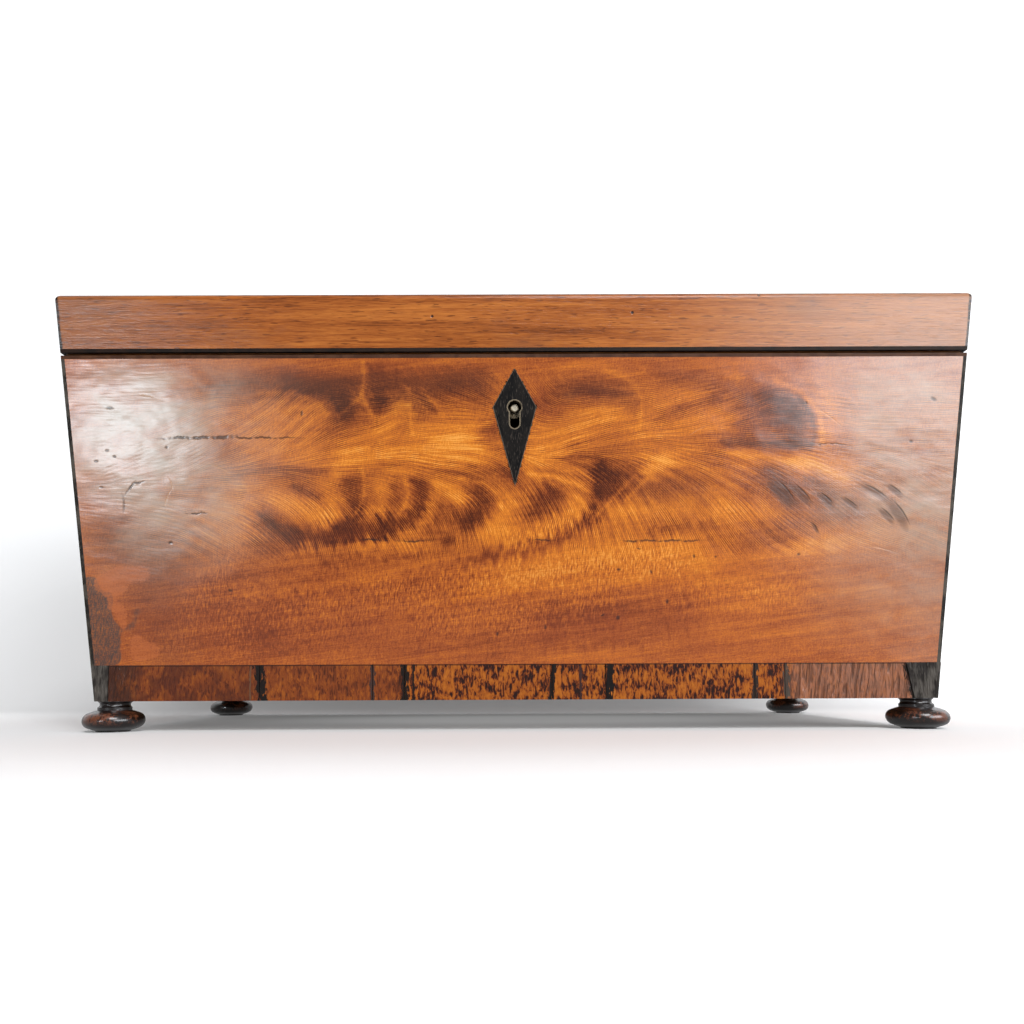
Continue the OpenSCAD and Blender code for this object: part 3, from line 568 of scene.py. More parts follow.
# %% Old marks
CRACKS = (
    (-104, 94.1, 15, 0.55, 0, 0.3), (-84, 94.0, 17, 0.34, 0.3, 0), (-96, 94.4, 6, 0.5, -2, 0),
    (-33, 60.2, 7, 0.34, 0, 0), (-46, 60.6, 6, 0.3, 2, 0), (-104, 69.4, 5, 0.25, 0, 0),
    (9, 60.4, 4, 0.24, 0, 0), (50, 60.0, 14, 0.34, 0, 0), (40, 60.0, 6, 0.4, 0, 0),
    (-125.8, 77.6, 3.6, 0.42, -56, 0.3), (-127.6, 72.8, 4.2, 0.42, 84, 0.5),
    (-122.8, 79.6, 2.6, 0.34, -8, 0), (104, 91.3, 8, 0.2, 4, 0),
)
PITS = (
    (-92.4, 44.6, 0.9, 0.6, 20, 0), (-112, 60, 0.9, 0.7, 0, 0), (-133, 104, 1.6, 0.5, 5, 0),
    (-133.5, 90, 0.8, 0.5, 0, 0), (-131, 88, 0.7, 0.5, 30, 0), (-135, 78, 1.0, 0.4, 0, 0),
    (-137, 86.5, 0.9, 0.5, 0, 0), (-114, 91, 0.7, 0.5, 0, 0), (44, 50, 0.9, 0.4, 60, 0),
    (40, 57.5, 0.9, 0.3, 20, 0), (33.5, 50.8, 0.8, 0.5, 0, 0), (58, 55, 0.8, 0.5, 80, 0),
    (65, 54.8, 0.5, 0.4, 0, 0), (49, 40.5, 0.6, 0.9, 0, 0), (33, 35.4, 0.7, 0.9, 30, 0),
    (-6, 30.4, 0.5, 0.9, 0, 0), (9.5, 32.5, 0.5, 0.9, 0, 0), (28, 36.2, 0.9, 0.4, -30, 0),
    (92, 55.5, 0.7, 0.5, 0, 0), (-70, 102, 0.5, 1.2, 0, 0), (100, 91, 0.6, 0.4, 0, 0),
    (130, 92, 0.8, 0.6, 0, 0), (138, 106, 1.4, 0.8, 30, 0), (96, 105, 0.5, 0.5, 0, 0),
)
BRUISES = (
    (87.0, 75.4, 6.6, 2.7, 50, 0.9), (93.6, 74.6, 5.4, 1.6, 48, 0.6),
    (101.2, 73.0, 4.0, 1.4, 44, 0.4), (109.2, 71.8, 4.0, 1.0, 38, 0.3),
    (117.6, 75.2, 7.0, 1.4, 32, 0.9), (124.8, 68.4, 6.6, 2.2, 56, 0.9),
    (121.0, 67.8, 4.2, 1.3, 46, 0.5), (124.0, 75.8, 3.6, 1.2, 38, 0.3),
    (97.5, 64, 2.6, 0.6, 60, 0.2),
)
# Crescents along the upper rims of the bruises: pressed in, and darkened with painted shade.
CRESCENTS = tuple(
    (
        x + 0.8 * half * math.sin(math.radians(lean)),
        z + 0.8 * half * math.cos(math.radians(lean)),
        0.9 * reach, 0.3, lean, bow,
    )
    for x, z, reach, half, lean, bow in BRUISES
)
SCRATCHES = (
    (-113.5, 74.5, 3.4, 0.22, -72, 0.6), (-112, 79, 2.6, 0.2, 74, 0.5), (-121, 108, 3, 0.2, 10, 0),
    (60, 96, 4, 0.12, -30, 0.3), (104, 100, 6, 0.12, 38, 0.4), (-96, 84, 4, 0.18, 25, 0.4),
    (120, 57, 5, 0.16, 15, 0.3),
)


def lens(marks, x, z, grow=0.0):
    """How deep inside any of the marks each place lies, from 0 at the rim to 1."""
    deepest = np.zeros(len(x))
    for middle_x, middle_z, half_length, half_width, lean, bow in marks:
        lean = math.radians(lean)
        along = (x - middle_x) * math.cos(lean) - (z - middle_z) * math.sin(lean)
        along = along / (half_length + grow)
        beside = (x - middle_x) * math.sin(lean) + (z - middle_z) * math.cos(lean)
        beside = (beside + bow * along**2) / (half_width + grow)
        deepest = np.maximum(deepest, 1 - along**2 - beside**2)
    return deepest


centres = np.empty(3 * len(leaf.data.polygons))
leaf.data.polygons.foreach_get("center", centres)
centres = centres.reshape(-1, 3) / MM
near_mark = lens(CRACKS + PITS + BRUISES + SCRATCHES, centres[:, 0], centres[:, 2], 0.55) > 0
bpy.ops.object.mode_set(mode="EDIT")
bpy.ops.mesh.select_mode(type="FACE")
bpy.ops.mesh.select_all(action="DESELECT")
bpy.ops.object.mode_set(mode="OBJECT")
leaf.data.polygons.foreach_set("select", near_mark)
bpy.ops.object.mode_set(mode="EDIT")
bpy.ops.mesh.subdivide(number_cuts=3)
bpy.ops.object.mode_set(mode="OBJECT")
print("squares near marks:", int(near_mark.sum()), "leaf faces:", len(leaf.data.polygons))

# %% [markdown]
# A kite is cut out of the leaf for the black wood round the keyhole. Four cuts follow the kite's
# sides, only through the squares near it, and what lies inside is deleted. The open edges are
# then pulled back by the veneer's thickness, and the back is filled, which closes the leaf.

# %% Kite and thickness
KEYHOLE_Z = 103.8 * MM
KEYHOLE_Y = leaf_low.y + SLOPE * (leaf_high.z - KEYHOLE_Z)
LEAN = math.atan(SLOPE)
VENEER = 1.2 * MM
KITE_HALF = 7.2
KITE_UP = 13
KITE_DOWN = 26.2
KITE = ((0, KITE_UP), (KITE_HALF, 0), (0, -KITE_DOWN), (-KITE_HALF, 0))


def on_front(across, up):
    """A point of the front face, from millimetres across and up the slope from the keyhole."""
    return (across * MM, KEYHOLE_Y - up * MM * math.sin(LEAN), KEYHOLE_Z + up * MM * math.cos(LEAN))


def near_kite(corners):
    """Inside a box a little larger than the kite."""
    return all(
        abs(p.x) < (KITE_HALF + 1.3) * MM
        and -(KITE_DOWN + 1.8) * MM < p.z - KEYHOLE_Z < (KITE_UP + 1.5) * MM
        for p in corners
    )


def in_kite(corners):
    centre_x = sum(p.x for p in corners) / len(corners) / MM
    centre_up = (sum(p.z for p in corners) / len(corners) - KEYHOLE_Z) / MM / math.cos(LEAN)
    reach = KITE_UP if centre_up > 0 else KITE_DOWN
    return abs(centre_x) / KITE_HALF + abs(centre_up) / reach < 1


for (x0, up0), (x1, up1) in zip(KITE, KITE[1:] + KITE[:1]):
    pick(leaf, "FACE", near_kite)
    out_x, out_up = up0 - up1, x1 - x0
    bpy.ops.mesh.bisect(
        plane_co=on_front(x0, up0),
        plane_no=(out_x, -out_up * math.sin(LEAN), out_up * math.cos(LEAN)),
    )
pick(leaf, "FACE", in_kite)
bpy.ops.mesh.delete(type="FACE")
bpy.ops.mesh.select_mode(type="EDGE")
bpy.ops.mesh.select_all(action="DESELECT")
bpy.ops.mesh.select_non_manifold()
bpy.ops.mesh.extrude_edges_move(TRANSFORM_OT_translate={"value": (0, VENEER, 0)})
bpy.ops.mesh.fill(use_beauty=False)
bpy.ops.mesh.select_all(action="SELECT")
bpy.ops.mesh.normals_make_consistent(inside=False)
bpy.ops.object.mode_set(mode="OBJECT")
print("leaf faces with its back:", len(leaf.data.polygons))

# %% [markdown]
# Now the figure. In a crotch the fibres stand up like hair on both sides of a level spine, at 87
# mm here: above it they rise to the right, below it they fall and end upright. The table gives
# the slope of that hair in degrees at places across and up in millimetres, and every corner of
# the leaf takes the slope of the places near it. Real fibres also wave a little, which sways all
# that is painted.

# %% Hair of the leaf
HAIR = (
    (-125, 103, 2), (-125, 88, 24), (-122, 72, -12), (-105, 96, 30), (-85, 90, 28), (-77, 98, 42),
    (-68, 102, 46), (-62, 99, 48), (-60, 92, 24), (-54, 90, 12), (-43, 98, 32), (-39, 101, 36),
    (-23, 97, 15), (-17, 101, 20), (-38, 88, 0), (-20, 87, -2), (-88, 78, -6), (-75, 80, -6),
    (-58, 84, -4), (-52, 80, -9), (-32, 82, -14), (-19, 81, -18), (-9, 79, -30), (-32, 75, -38),
    (-58, 70, -55), (-70, 71, -48), (-80, 66, -42), (-45, 66, -62), (-30, 68, -60), (-15, 66, -72),
    (-5, 70, -60), (-60, 58, -82), (-20, 58, -88), (-92, 57, -30), (13, 96, 30), (24, 99, 22),
    (38, 97, 16), (58, 102, 22), (76, 105, 24), (58, 90, -2), (85, 91, 0), (112, 88, -4),
    (73, 85, -18), (80, 81, -33), (47, 84, -16), (53, 80, -32), (8, 75, -56), (25, 79, -34),
    (38, 74, -58), (47, 74, -62), (56, 74, -50), (40, 66, -66), (30, 63, -74), (18, 66, -76),
    (63, 67, -58), (76, 68, -50), (86, 74, -45), (96, 80, -28), (101, 74, -40), (116, 76, -35),
    (20, 58, -88), (0, 57, -90), (50, 57, -82), (92, 59, -30), (122, 58, -20), (-95, 111, 0),
    (-60, 113, 0), (-52, 106, -55), (-30, 106, -52), (-14, 108, -44), (8, 104, -60), (30, 109, -10),
    (62, 112, 4), (96, 110, -10), (125, 104, 0), (102, 98, -16), (96, 98, 10),
)
HAIR_REACH = 9.0
HAIR_WAVES = ((1.3, 3.1), (1.0, 1.9), (1.0, 5.3))
points = np.empty(3 * len(leaf.data.vertices))
leaf.data.vertices.foreach_get("co", points)
points = points.reshape(-1, 3)
across = points[:, 0] / MM
up = points[:, 2] / MM


def combed(table, reach, waves):
    """The slope of the hair at every corner, in radians, and the sum of waves laid across it."""
    share = np.full(len(across), 1e-9)
    slope, wave = np.zeros(len(across)), np.zeros(len(across))
    for count, (middle_x, middle_z, degrees) in enumerate(table):
        lean = math.radians(degrees)
        near = np.exp(-((across - middle_x) ** 2 + (up - middle_z) ** 2) / reach**2)
        beside = (up - middle_z) * math.cos(lean) - (across - middle_x) * math.sin(lean)
        share += near
        slope += near * lean
        for height, length in waves:
            wave += near * height * np.sin(2 * math.pi * beside / length + 2.4 * count + length)
    return slope / share, wave / share


hair, pull = combed(HAIR, HAIR_REACH, HAIR_WAVES)
sway_x = across + pull * np.cos(hair) + 0.6 * np.sin(0.31 * up + 0.05 * across)
sway_z = up + pull * np.sin(hair) + 0.5 * np.sin(0.17 * across + 0.4)
print("hair combed at", len(HAIR), "places, waves up to", round(float(abs(pull).max()), 1), "mm")

# %% [markdown]
# Flames are laid along lines, as a stainer's brush would. A stroke has a strength, half its width
# in millimetres, and the points it runs through: below zero is dark, above is light. Thin arcs
# are laid over them in the same way.

# %% Flames
STROKES = (
    # brown clouds along the top
    (0.25, 1.6, (-100, 118), (-54, 118)), (-0.45, 3.4, (-96, 111), (-82, 111.5), (-70, 112)),
    (-0.80, 3.2, (-74, 112.5), (-62, 112.5), (-53, 111.5)),
    (-0.60, 3.4, (-66, 110), (-58, 106), (-56, 102)), (-0.75, 2.2, (-58, 107), (-56, 103)),
    (-0.75, 2.6, (-45, 115), (-45, 110), (-45, 104)), (-0.50, 2.2, (-44, 108), (-43, 105)),
    (-0.65, 3.2, (-44, 113.5), (-30, 113.5), (-12, 113)),
    (-0.55, 2.6, (-38, 109), (-31, 108), (-29, 104)),
    (-0.45, 3.6, (-22, 110), (-14, 108), (-10, 106)),
    # golden fans above the spine
    (0.30, 4.0, (-96, 99), (-78, 101), (-66, 104)), (0.25, 3.0, (-90, 93), (-70, 95)),
    (-0.20, 3.0, (-59, 96), (-49, 100)), (0.45, 2.6, (-43, 96), (-40, 102), (-37, 105)),
    (0.35, 3.0, (-32, 95), (-26, 99)), (0.45, 3.4, (-20, 95), (-10, 99), (-6, 101)),
    (-0.60, 2.4, (-10, 95), (-6, 98)), (0.75, 3.6, (-56, 87), (-40, 88), (-24, 88), (-12, 88)),
    (0.35, 3.6, (-86, 89), (-68, 89)), (0.45, 2.4, (-26, 93), (-14, 93)),
    # combs under the spine
    (-0.50, 1.3, (-92, 81.5), (-80, 84), (-70, 83.5), (-62, 82)),
    (-0.60, 1.6, (-71, 78), (-64, 75)), (0.30, 3.4, (-96, 74), (-86, 78)),
    (0.65, 3.2, (-78, 74), (-68, 71), (-61, 68)), (0.45, 2.6, (-62, 79), (-58, 74)),
    (0.35, 6.0, (-98, 66), (-90, 68)), (-0.95, 2.4, (-82, 68), (-78, 64), (-72, 62)),
    (-0.80, 2.0, (-72, 62), (-64, 62), (-57, 64)), (-0.95, 2.2, (-58, 64), (-53, 67), (-51, 70)),
    (-0.40, 2.2, (-84, 60), (-78, 57)), (-0.60, 2.6, (-54, 79), (-53, 75)),
    (-0.35, 2.6, (-50, 81), (-46, 82)), (0.45, 2.0, (-45, 79), (-42.5, 75), (-43, 71), (-47, 68)),
    (-0.45, 1.6, (-39, 78), (-38.5, 72)),
    (-0.95, 2.0, (-32, 79), (-29.5, 75), (-31, 70), (-36, 66), (-43, 63.5)),
    (-0.75, 1.5, (-41, 68), (-47, 65), (-54, 62.5)), (-0.70, 1.2, (-43, 62), (-52, 61), (-64, 60)),
    (0.45, 1.5, (-27, 76), (-27, 70), (-31, 65.5), (-38, 62)),
    (-0.40, 1.6, (-24, 72), (-25, 67), (-29, 63.5)), (-0.75, 1.7, (-22.5, 60.5)),
    (-0.45, 1.0, (-44, 85.5), (-30, 84.5), (-20, 82), (-15, 79.5)),
    (0.75, 1.6, (-26, 79), (-21, 76), (-17.5, 73.5)), (0.30, 2.0, (-22, 80), (-16, 77)),
    (-0.80, 3.0, (-13, 76), (-10, 72), (-13, 67)), (-0.45, 3.0, (-19, 68), (-15, 64)),
    (0.60, 2.6, (-2, 73), (-5, 67), (-11, 62)), (-0.60, 1.8, (-2, 82), (0, 80)),
    (-0.35, 1.2, (-14, 84), (-4, 83)),
    # right of the kite
    (-0.45, 3.0, (14, 110), (24, 111), (32, 109)), (-0.50, 2.2, (22, 109), (26, 107)),
    (-0.30, 3.0, (34, 108), (38, 104)), (0.25, 1.2, (8, 116.5), (24, 117), (36, 114.5)),
    (-0.35, 2.6, (9, 105), (15, 101)), (0.55, 4.0, (8, 93), (20, 97), (34, 102)),
    (0.45, 2.4, (14, 89), (5, 87)), (0.45, 3.6, (42, 96), (56, 97), (68, 99)),
    (0.35, 2.0, (45, 106), (60, 107)), (-0.50, 1.0, (48, 100.5), (58, 103.5), (68, 106.5)),
    (-0.35, 2.6, (48, 116), (56, 113), (66, 110.5)), (0.60, 1.6, (74, 113.5)),
    (-0.45, 5.0, (78, 106), (88, 104)), (-0.55, 3.0, (84, 108), (91, 105), (94, 99), (93, 93)),
    (-0.35, 2.4, (84, 101), (92, 100)), (-0.35, 3.4, (76, 97), (88, 95)),
    (0.40, 2.4, (103, 108), (104, 100), (102, 92)), (-0.65, 1.3, (69, 92), (82, 92), (97, 90.5)),
    (-0.35, 1.2, (20, 87.5), (30, 86.5), (41, 85.5)), (-0.55, 2.0, (28, 83), (34, 82), (40, 82)),
    (0.35, 3.0, (8, 84), (18, 83)), (0.85, 2.4, (44, 83), (48, 86)),
    (0.30, 1.4, (42, 88.5), (60, 89)), (-0.85, 2.6, (11, 77), (8, 73), (6, 69)),
    (-0.45, 2.4, (14, 74), (12, 70)), (-0.85, 2.4, (30, 81), (30, 76), (27, 72)),
    (-0.75, 1.2, (28, 84), (27, 78), (25, 71), (22, 66)), (-0.55, 2.6, (35, 79), (34, 75)),
    (-0.35, 3.0, (42, 76), (50, 75)), (0.30, 2.4, (20, 74), (19, 70)),
    (-0.30, 2.6, (54, 80), (60, 76)), (0.35, 1.2, (50, 85.5), (60, 83.5), (69, 79.5), (74, 75)),
    (0.45, 2.2, (65, 76), (69, 73)), (-0.25, 3.0, (76, 76), (78, 70)),
    (-0.60, 3.0, (83, 83), (87, 78), (91, 72)), (-0.40, 2.4, (97, 79), (102, 74)),
    (0.80, 1.7, (72, 88.5), (86, 86.5), (97, 83.5), (107, 79.5)), (0.55, 2.6, (94, 86), (110, 84)),
    (0.50, 3.2, (92, 57), (110, 61), (126, 65)), (0.40, 2.4, (64, 69), (80, 72)),
    (-0.35, 3.0, (100, 68), (112, 70)), (-0.25, 3.0, (76, 64), (92, 64)),
    # long flames below
    (-0.70, 1.3, (-10, 55.5), (4, 57.5), (14, 60.5), (23, 64.5), (28, 68)),
    (-0.45, 1.1, (-34, 49.5), (-18, 52.5), (-6, 55)),
    (-0.40, 1.2, (-62, 53), (-46, 55), (-30, 56.5)), (0.55, 3.4, (-4, 61), (8, 64), (20, 69)),
    (0.55, 3.0, (30, 69), (44, 71), (56, 71)), (0.60, 4.0, (0, 52), (20, 56), (40, 57), (56, 57)),
    (0.45, 4.0, (-10, 47), (30, 50), (60, 51)), (0.35, 2.0, (-50, 58), (-30, 59)),
    (0.30, 2.6, (60, 66), (76, 68), (88, 71)), (-0.40, 1.1, (44, 64), (54, 65), (64, 65)),
    (-0.35, 1.2, (-74, 42), (-62, 44), (-52, 45)), (0.30, 2.4, (62, 53), (84, 56), (104, 59)),
    (0.35, 4.0, (66, 46), (96, 44), (120, 44)), (-0.50, 3.4, (12, 33), (30, 34)),
    (-0.35, 4.0, (38, 36), (56, 36)), (-0.25, 5.0, (-30, 30), (6, 28)),
    (0.30, 2.4, (64, 30), (100, 33), (128, 36)), (-0.25, 1.4, (10, 27), (40, 28)),
    (-0.35, 7.0, (-128, 62), (-116, 54)), (-0.40, 8.0, (-116, 36), (-84, 32)),
    (-0.30, 6.0, (-80, 28), (-46, 30)), (-0.30, 1.2, (-110, 46), (-84, 48)),
    (-0.35, 1.2, (-100, 39), (-70, 41)), (0.25, 1.4, (-90, 43), (-64, 46)),
)
LINES = (
    # thin light and dark arcs
    (0.65, 0.7, (-50, 119), (-49.5, 112), (-50.5, 108), (-48.5, 104), (-46.5, 101)),
    (0.45, 0.7, (-50.5, 107.5), (-55, 103.5), (-58, 101)),
    (0.40, 0.6, (-36.5, 111), (-31.5, 106), (-28, 101.5)),
    (0.35, 0.5, (-31, 110), (-25.5, 104), (-23, 101)),
    (0.40, 0.6, (-35, 110), (-34.5, 104), (-33.5, 95)), (0.40, 0.6, (-43, 103), (-37, 106.5)),
    (-0.35, 0.5, (-39, 118), (-39, 111)),
    (0.35, 0.9, (-84, 109), (-73, 109), (-65, 105.5), (-61.5, 101.5)),
    (-0.45, 0.6, (-47, 91), (-36, 92.3), (-28, 93)),
    (0.50, 0.7, (-36, 80.5), (-34.8, 76), (-36, 71.5), (-38, 69)),
    (0.65, 0.8, (-18, 80.8), (-10, 78.8), (-5.2, 75), (-4.2, 71.5)),
    (0.45, 0.6, (-50, 84), (-49, 78), (-50, 73), (-53, 68)), (0.30, 0.6, (-59, 85), (-58, 80)),
    (0.70, 0.7, (4, 82), (12, 81), (20, 78.5), (25, 75), (27.5, 71)),
    (0.45, 0.6, (8, 80.5), (15, 77), (21, 73.5), (24.5, 69.5)),
    (0.50, 0.6, (39, 81), (32, 74), (26.5, 68)), (0.40, 0.6, (43, 80), (36, 73)),
    (0.40, 0.6, (41, 97), (42, 106), (39, 112), (30, 116)),
    (-0.40, 0.5, (7, 83.5), (18, 81.5), (27, 79)), (-0.40, 0.5, (-40, 87), (-24, 85), (-8, 81.5)),
    (-0.50, 0.6, (13, 87.5), (22, 84), (29, 83)), (0.40, 0.6, (29, 87.6), (43, 87), (56, 85)),
    (0.35, 0.6, (50, 82), (57, 78.5), (63, 73)),
    (-0.55, 0.8, (94, 106.5), (98, 101), (98.6, 94), (97, 90)),
    (0.60, 1.0, (86, 112.5), (95, 108), (100.3, 101), (101, 93)),
    (-0.30, 0.6, (-60, 60), (-40, 61), (-20, 60.3)),
)
print("flames:", len(STROKES), "broad and", len(LINES), "thin")

# %% [markdown]
# Soft patches lie over the flames. Smoke browns the wood, and blush reddens it. Ripple marks where
# the grain ripples, as on the back of a fiddle. At the lower left the polish has worn off in a pale
# patch with sooty edges. Near both ends a milky patch is a painted highlight: the glare and haze of
# the soft boxes in the polish.

# %% Soft patches
SMOKE = (
    (0.9, 6.0, (-98, 111), (-76, 112), (-54, 111)), (0.7, 5.0, (-60, 108), (-56, 103)),
    (0.8, 5.0, (-45, 113), (-30, 113), (-10, 112)), (0.6, 4.0, (-45, 106), (-30, 106)),
    (0.8, 1.8, (19, 107.5)), (0.5, 5.0, (16, 110), (36, 109)), (0.3, 4.0, (50, 115), (64, 111)),
    (0.25, 6.0, (74, 108), (92, 102), (92, 94)), (0.9, 5.0, (84, 82), (90, 74)),
    (0.7, 4.0, (98, 79), (104, 73)), (0.35, 6.0, (44, 76), (60, 76)),
    (0.6, 2.0, (70, 92), (98, 91)), (0.5, 5.0, (106, 70), (128, 66)),
    (0.8, 10.0, (-132, 60), (-116, 56)), (0.5, 6.0, (-108, 64), (-100, 60)),
    (0.6, 10.0, (-118, 44), (-112, 24)), (0.35, 9.0, (100, 38), (134, 40)),
    (0.3, 8.0, (-100, 92), (-98, 78)),
)
BLUSH = (
    (0.8, 5.0, (8, 108), (10, 102), (20, 101)), (0.5, 2.5, (-9, 96), (-6, 99)),
    (0.7, 5.0, (6, 32), (34, 33)), (0.5, 10.0, (-116, 34), (-60, 34), (-30, 30)),
    (0.5, 2.5, (-2, 80), (10, 76)), (0.4, 2.2, (-40, 74), (-32, 78)),
    (0.6, 2.2, (-10, 55.5), (8, 58.5), (24, 65)), (0.3, 6.0, (-128, 90), (-110, 108)),
    (0.4, 3.0, (-76, 61), (-50, 62)), (0.35, 8.0, (50, 30), (80, 28)),
    (0.4, 4.0, (-100, 116), (-30, 118)), (0.3, 4.0, (60, 80), (76, 76)),
)
RIPPLE = (
    (1.0, 5.0, (-40, 44), (-10, 47), (20, 52), (52, 53)), (0.8, 6.0, (-30, 34), (0, 36), (30, 42)),
    (0.8, 3.0, (0, 60), (14, 64), (26, 68)), (0.75, 10.0, (-90, 34), (-50, 40)),
    (0.6, 6.0, (56, 42), (90, 44)), (0.5, 6.0, (-110, 30), (-96, 50)),
)
PALE = (
    (0.9, 3.0, (-134, 47), (-129, 49)), (0.9, 3.6, (-127, 49.5), (-121, 50)),
    (0.8, 2.2, (-131, 44), (-128, 45)), (0.9, 2.4, (-130, 40), (-127.5, 38)),
    (0.8, 1.6, (-127, 36), (-126.5, 33.5)), (0.8, 3.4, (-122, 25), (-117, 25.5)),
    (0.7, 2.4, (-122, 29), (-121, 27)),
)
SOOT = (
    (1.1, 3.4, (-138, 46), (-136, 40), (-135.5, 30), (-135, 24)),
    (1.0, 3.6, (-131, 32), (-130, 24)), (0.8, 2.4, (-132, 42), (-133, 36)),
    (0.5, 3.0, (-124, 33), (-122, 38)),
)
# Painted highlight: the glare and haze of the soft boxes, mirrored in the polish near both ends.
GLARE_PATCHES = (
    (0.95, 20, (-127, 97)), (0.40, 30, (-124, 90)), (0.30, 22, (-98, 102), (-96, 78)),
    (0.30, 14, (-120, 62), (-104, 66)), (0.50, 26, (140, 112), (142, 76)),
    (0.34, 19, (118, 106), (120, 74)), (0.30, 18, (140, 56), (140, 26)),
    (0.20, 18, (104, 58), (112, 46)),
)
print("soft patches:", sum(len(t) for t in (SMOKE, BLUSH, RIPPLE, PALE, SOOT, GLARE_PATCHES)))

# %% [markdown]
# The strokes are now brushed on. Each corner of the leaf takes from a stroke as much as its
# distance to the line allows, and the sum is written on the mesh, where the finish can read it.

# %% Paint the leaf
def brushed(strokes, widen=1.0, x=sway_x, z=sway_z):
    """The tone that a set of strokes leaves on every corner of the leaf."""
    tone = np.zeros(len(across))
    for strength, half, *line in strokes:
        nearest = np.full(len(across), 1000.0)
        line = line if len(line) > 1 else line * 2
        for (x0, z0), (x1, z1) in zip(line, line[1:]):
            run, rise = x1 - x0, z1 - z0
            along = ((x - x0) * run + (z - z0) * rise) / max(run**2 + rise**2, 1e-6)
            along = np.clip(along, 0, 1)
            nearest = np.minimum(nearest, np.hypot(x - x0 - along * run, z - z0 - along * rise))
        tone += strength * np.exp(-((nearest / half / widen) ** 2))
    return tone


def write_on(piece, name, values):
    """Store one number on every corner of a piece."""
    layer = piece.data.attributes.new(name, "FLOAT", "POINT")
    layer.data.foreach_set("value", values.astype(np.float32))


flames = np.clip(brushed(STROKES, 1.3), -1.1, 1.1)
write_on(leaf, "figure", flames + brushed(LINES, 1.0, across, up))
for name, patches in (("smoke", SMOKE), ("blush", BLUSH), ("ripple", RIPPLE)):
    write_on(leaf, name, np.clip(brushed(patches), 0, 1))
for name, patches in (("pale", PALE), ("soot", SOOT), ("painted_glare", GLARE_PATCHES)):
    write_on(leaf, name, np.clip(brushed(patches, 1.0, across, up), 0, 1))
write_on(leaf, "lean", hair + math.pi / 2)
hair_band = np.clip((up - 50) / 10, 0, 1) * np.clip((118 - up) / 12, 0, 1)
write_on(leaf, "hairy", hair_band * np.clip((across + 150) / 40, 0.2, 1))
flow = leaf.data.attributes.new("flow", "FLOAT_VECTOR", "POINT")
flow.data.foreach_set("vector", np.stack([across, up, 0 * up], 1).astype(np.float32).ravel())
print("corners painted:", len(across), "from", flames.min().round(2), "to", flames.max().round(2))

# %% [markdown]
# The marks are pressed into the face by a few hundredths of a millimetre. Cracks are torn and not
# straight, so the line they follow wanders a little. What each mark shows is written down too: dirt
# stains cracks and pits, the crescents are darkened with painted shade, a bruise is brown, and a
# scratch is bare wood.

# %% Press in the marks
CRACK_DEPTH = 0.045
PIT_DEPTH = 0.035
BRUISE_DEPTH = 0.022
CRESCENT_DEPTH = 0.02
SCRATCH_DEPTH = 0.05
ragged = up + 0.16 * np.sin(0.7 * across) + 0.09 * np.sin(2.3 * across + 1)
ragged = ragged + 0.05 * np.sin(6.1 * across)
torn = np.clip(0.9 + 0.5 * np.sin(0.9 * across) + 0.3 * np.sin(3.1 * across), 0.3, 1)
crack = lens(CRACKS, across, ragged, 0.05) * torn
pit = lens(PITS, across, up)
bruise = lens(BRUISES, across, up)
crescent = lens(CRESCENTS, across, up)
scratch = lens(SCRATCHES, across, up)
pressed = CRACK_DEPTH * crack + PIT_DEPTH * pit
pressed += BRUISE_DEPTH * bruise + CRESCENT_DEPTH * crescent + SCRATCH_DEPTH * scratch
front_side = points[:, 1] < leaf_low.y + SLOPE * (leaf_high.z - points[:, 2]) + 0.1 * MM
points[:, 1] += pressed * front_side * MM
leaf.data.vertices.foreach_set("co", points.ravel())
# Dirt in cracks and pits, and the painted shade of the crescents, in one number.
write_on(leaf, "stain_and_shade", np.clip(np.maximum(np.maximum(1.3 * crack, pit), 1.1 * crescent), 0, 0.85))
write_on(leaf, "bruise", np.clip(1.3 * bruise, 0, 1))
write_on(leaf, "bare", np.clip(1.5 * scratch, 0, 1))
print("deepest mark:", round(float((pressed * front_side).max()), 3), "mm")

# %% [markdown]
# The finish reads the tone and adds the wood itself. Hairs at three sizes follow the combed
# slope. Where there are none, long bands and fine grain run level. Clouds, speckle and ripples
# lie over all of it, and the sum picks a colour between burnt brown and gold.

# %% Figure of the front
flame = Finish("flame_mahogany", roughness=0.45, coat=0.85, coat_roughness=0.2, gloss=0.1)
on_leaf = flame.written("flow", "Vector")
hair_lean = flame.written("lean")
hairy = flame.written("hairy")


def hair_strokes(length, width):
    """Strokes along the hair, in millimetres, that swing about zero."""
    return flame.sum(flame.hairs(on_leaf, length, width, hair_lean), -0.5)


def leaf_noise(wide, tall, tilt, detail, roughness=0.6, bend=0.0):
    """A noise on the face, with features of a size in metres, that swings about zero."""
    laid = flame.laid((wide, 1, tall), (0, tilt, 0))
    return flame.sum(flame.noise(laid, detail, roughness, bend), -0.5)


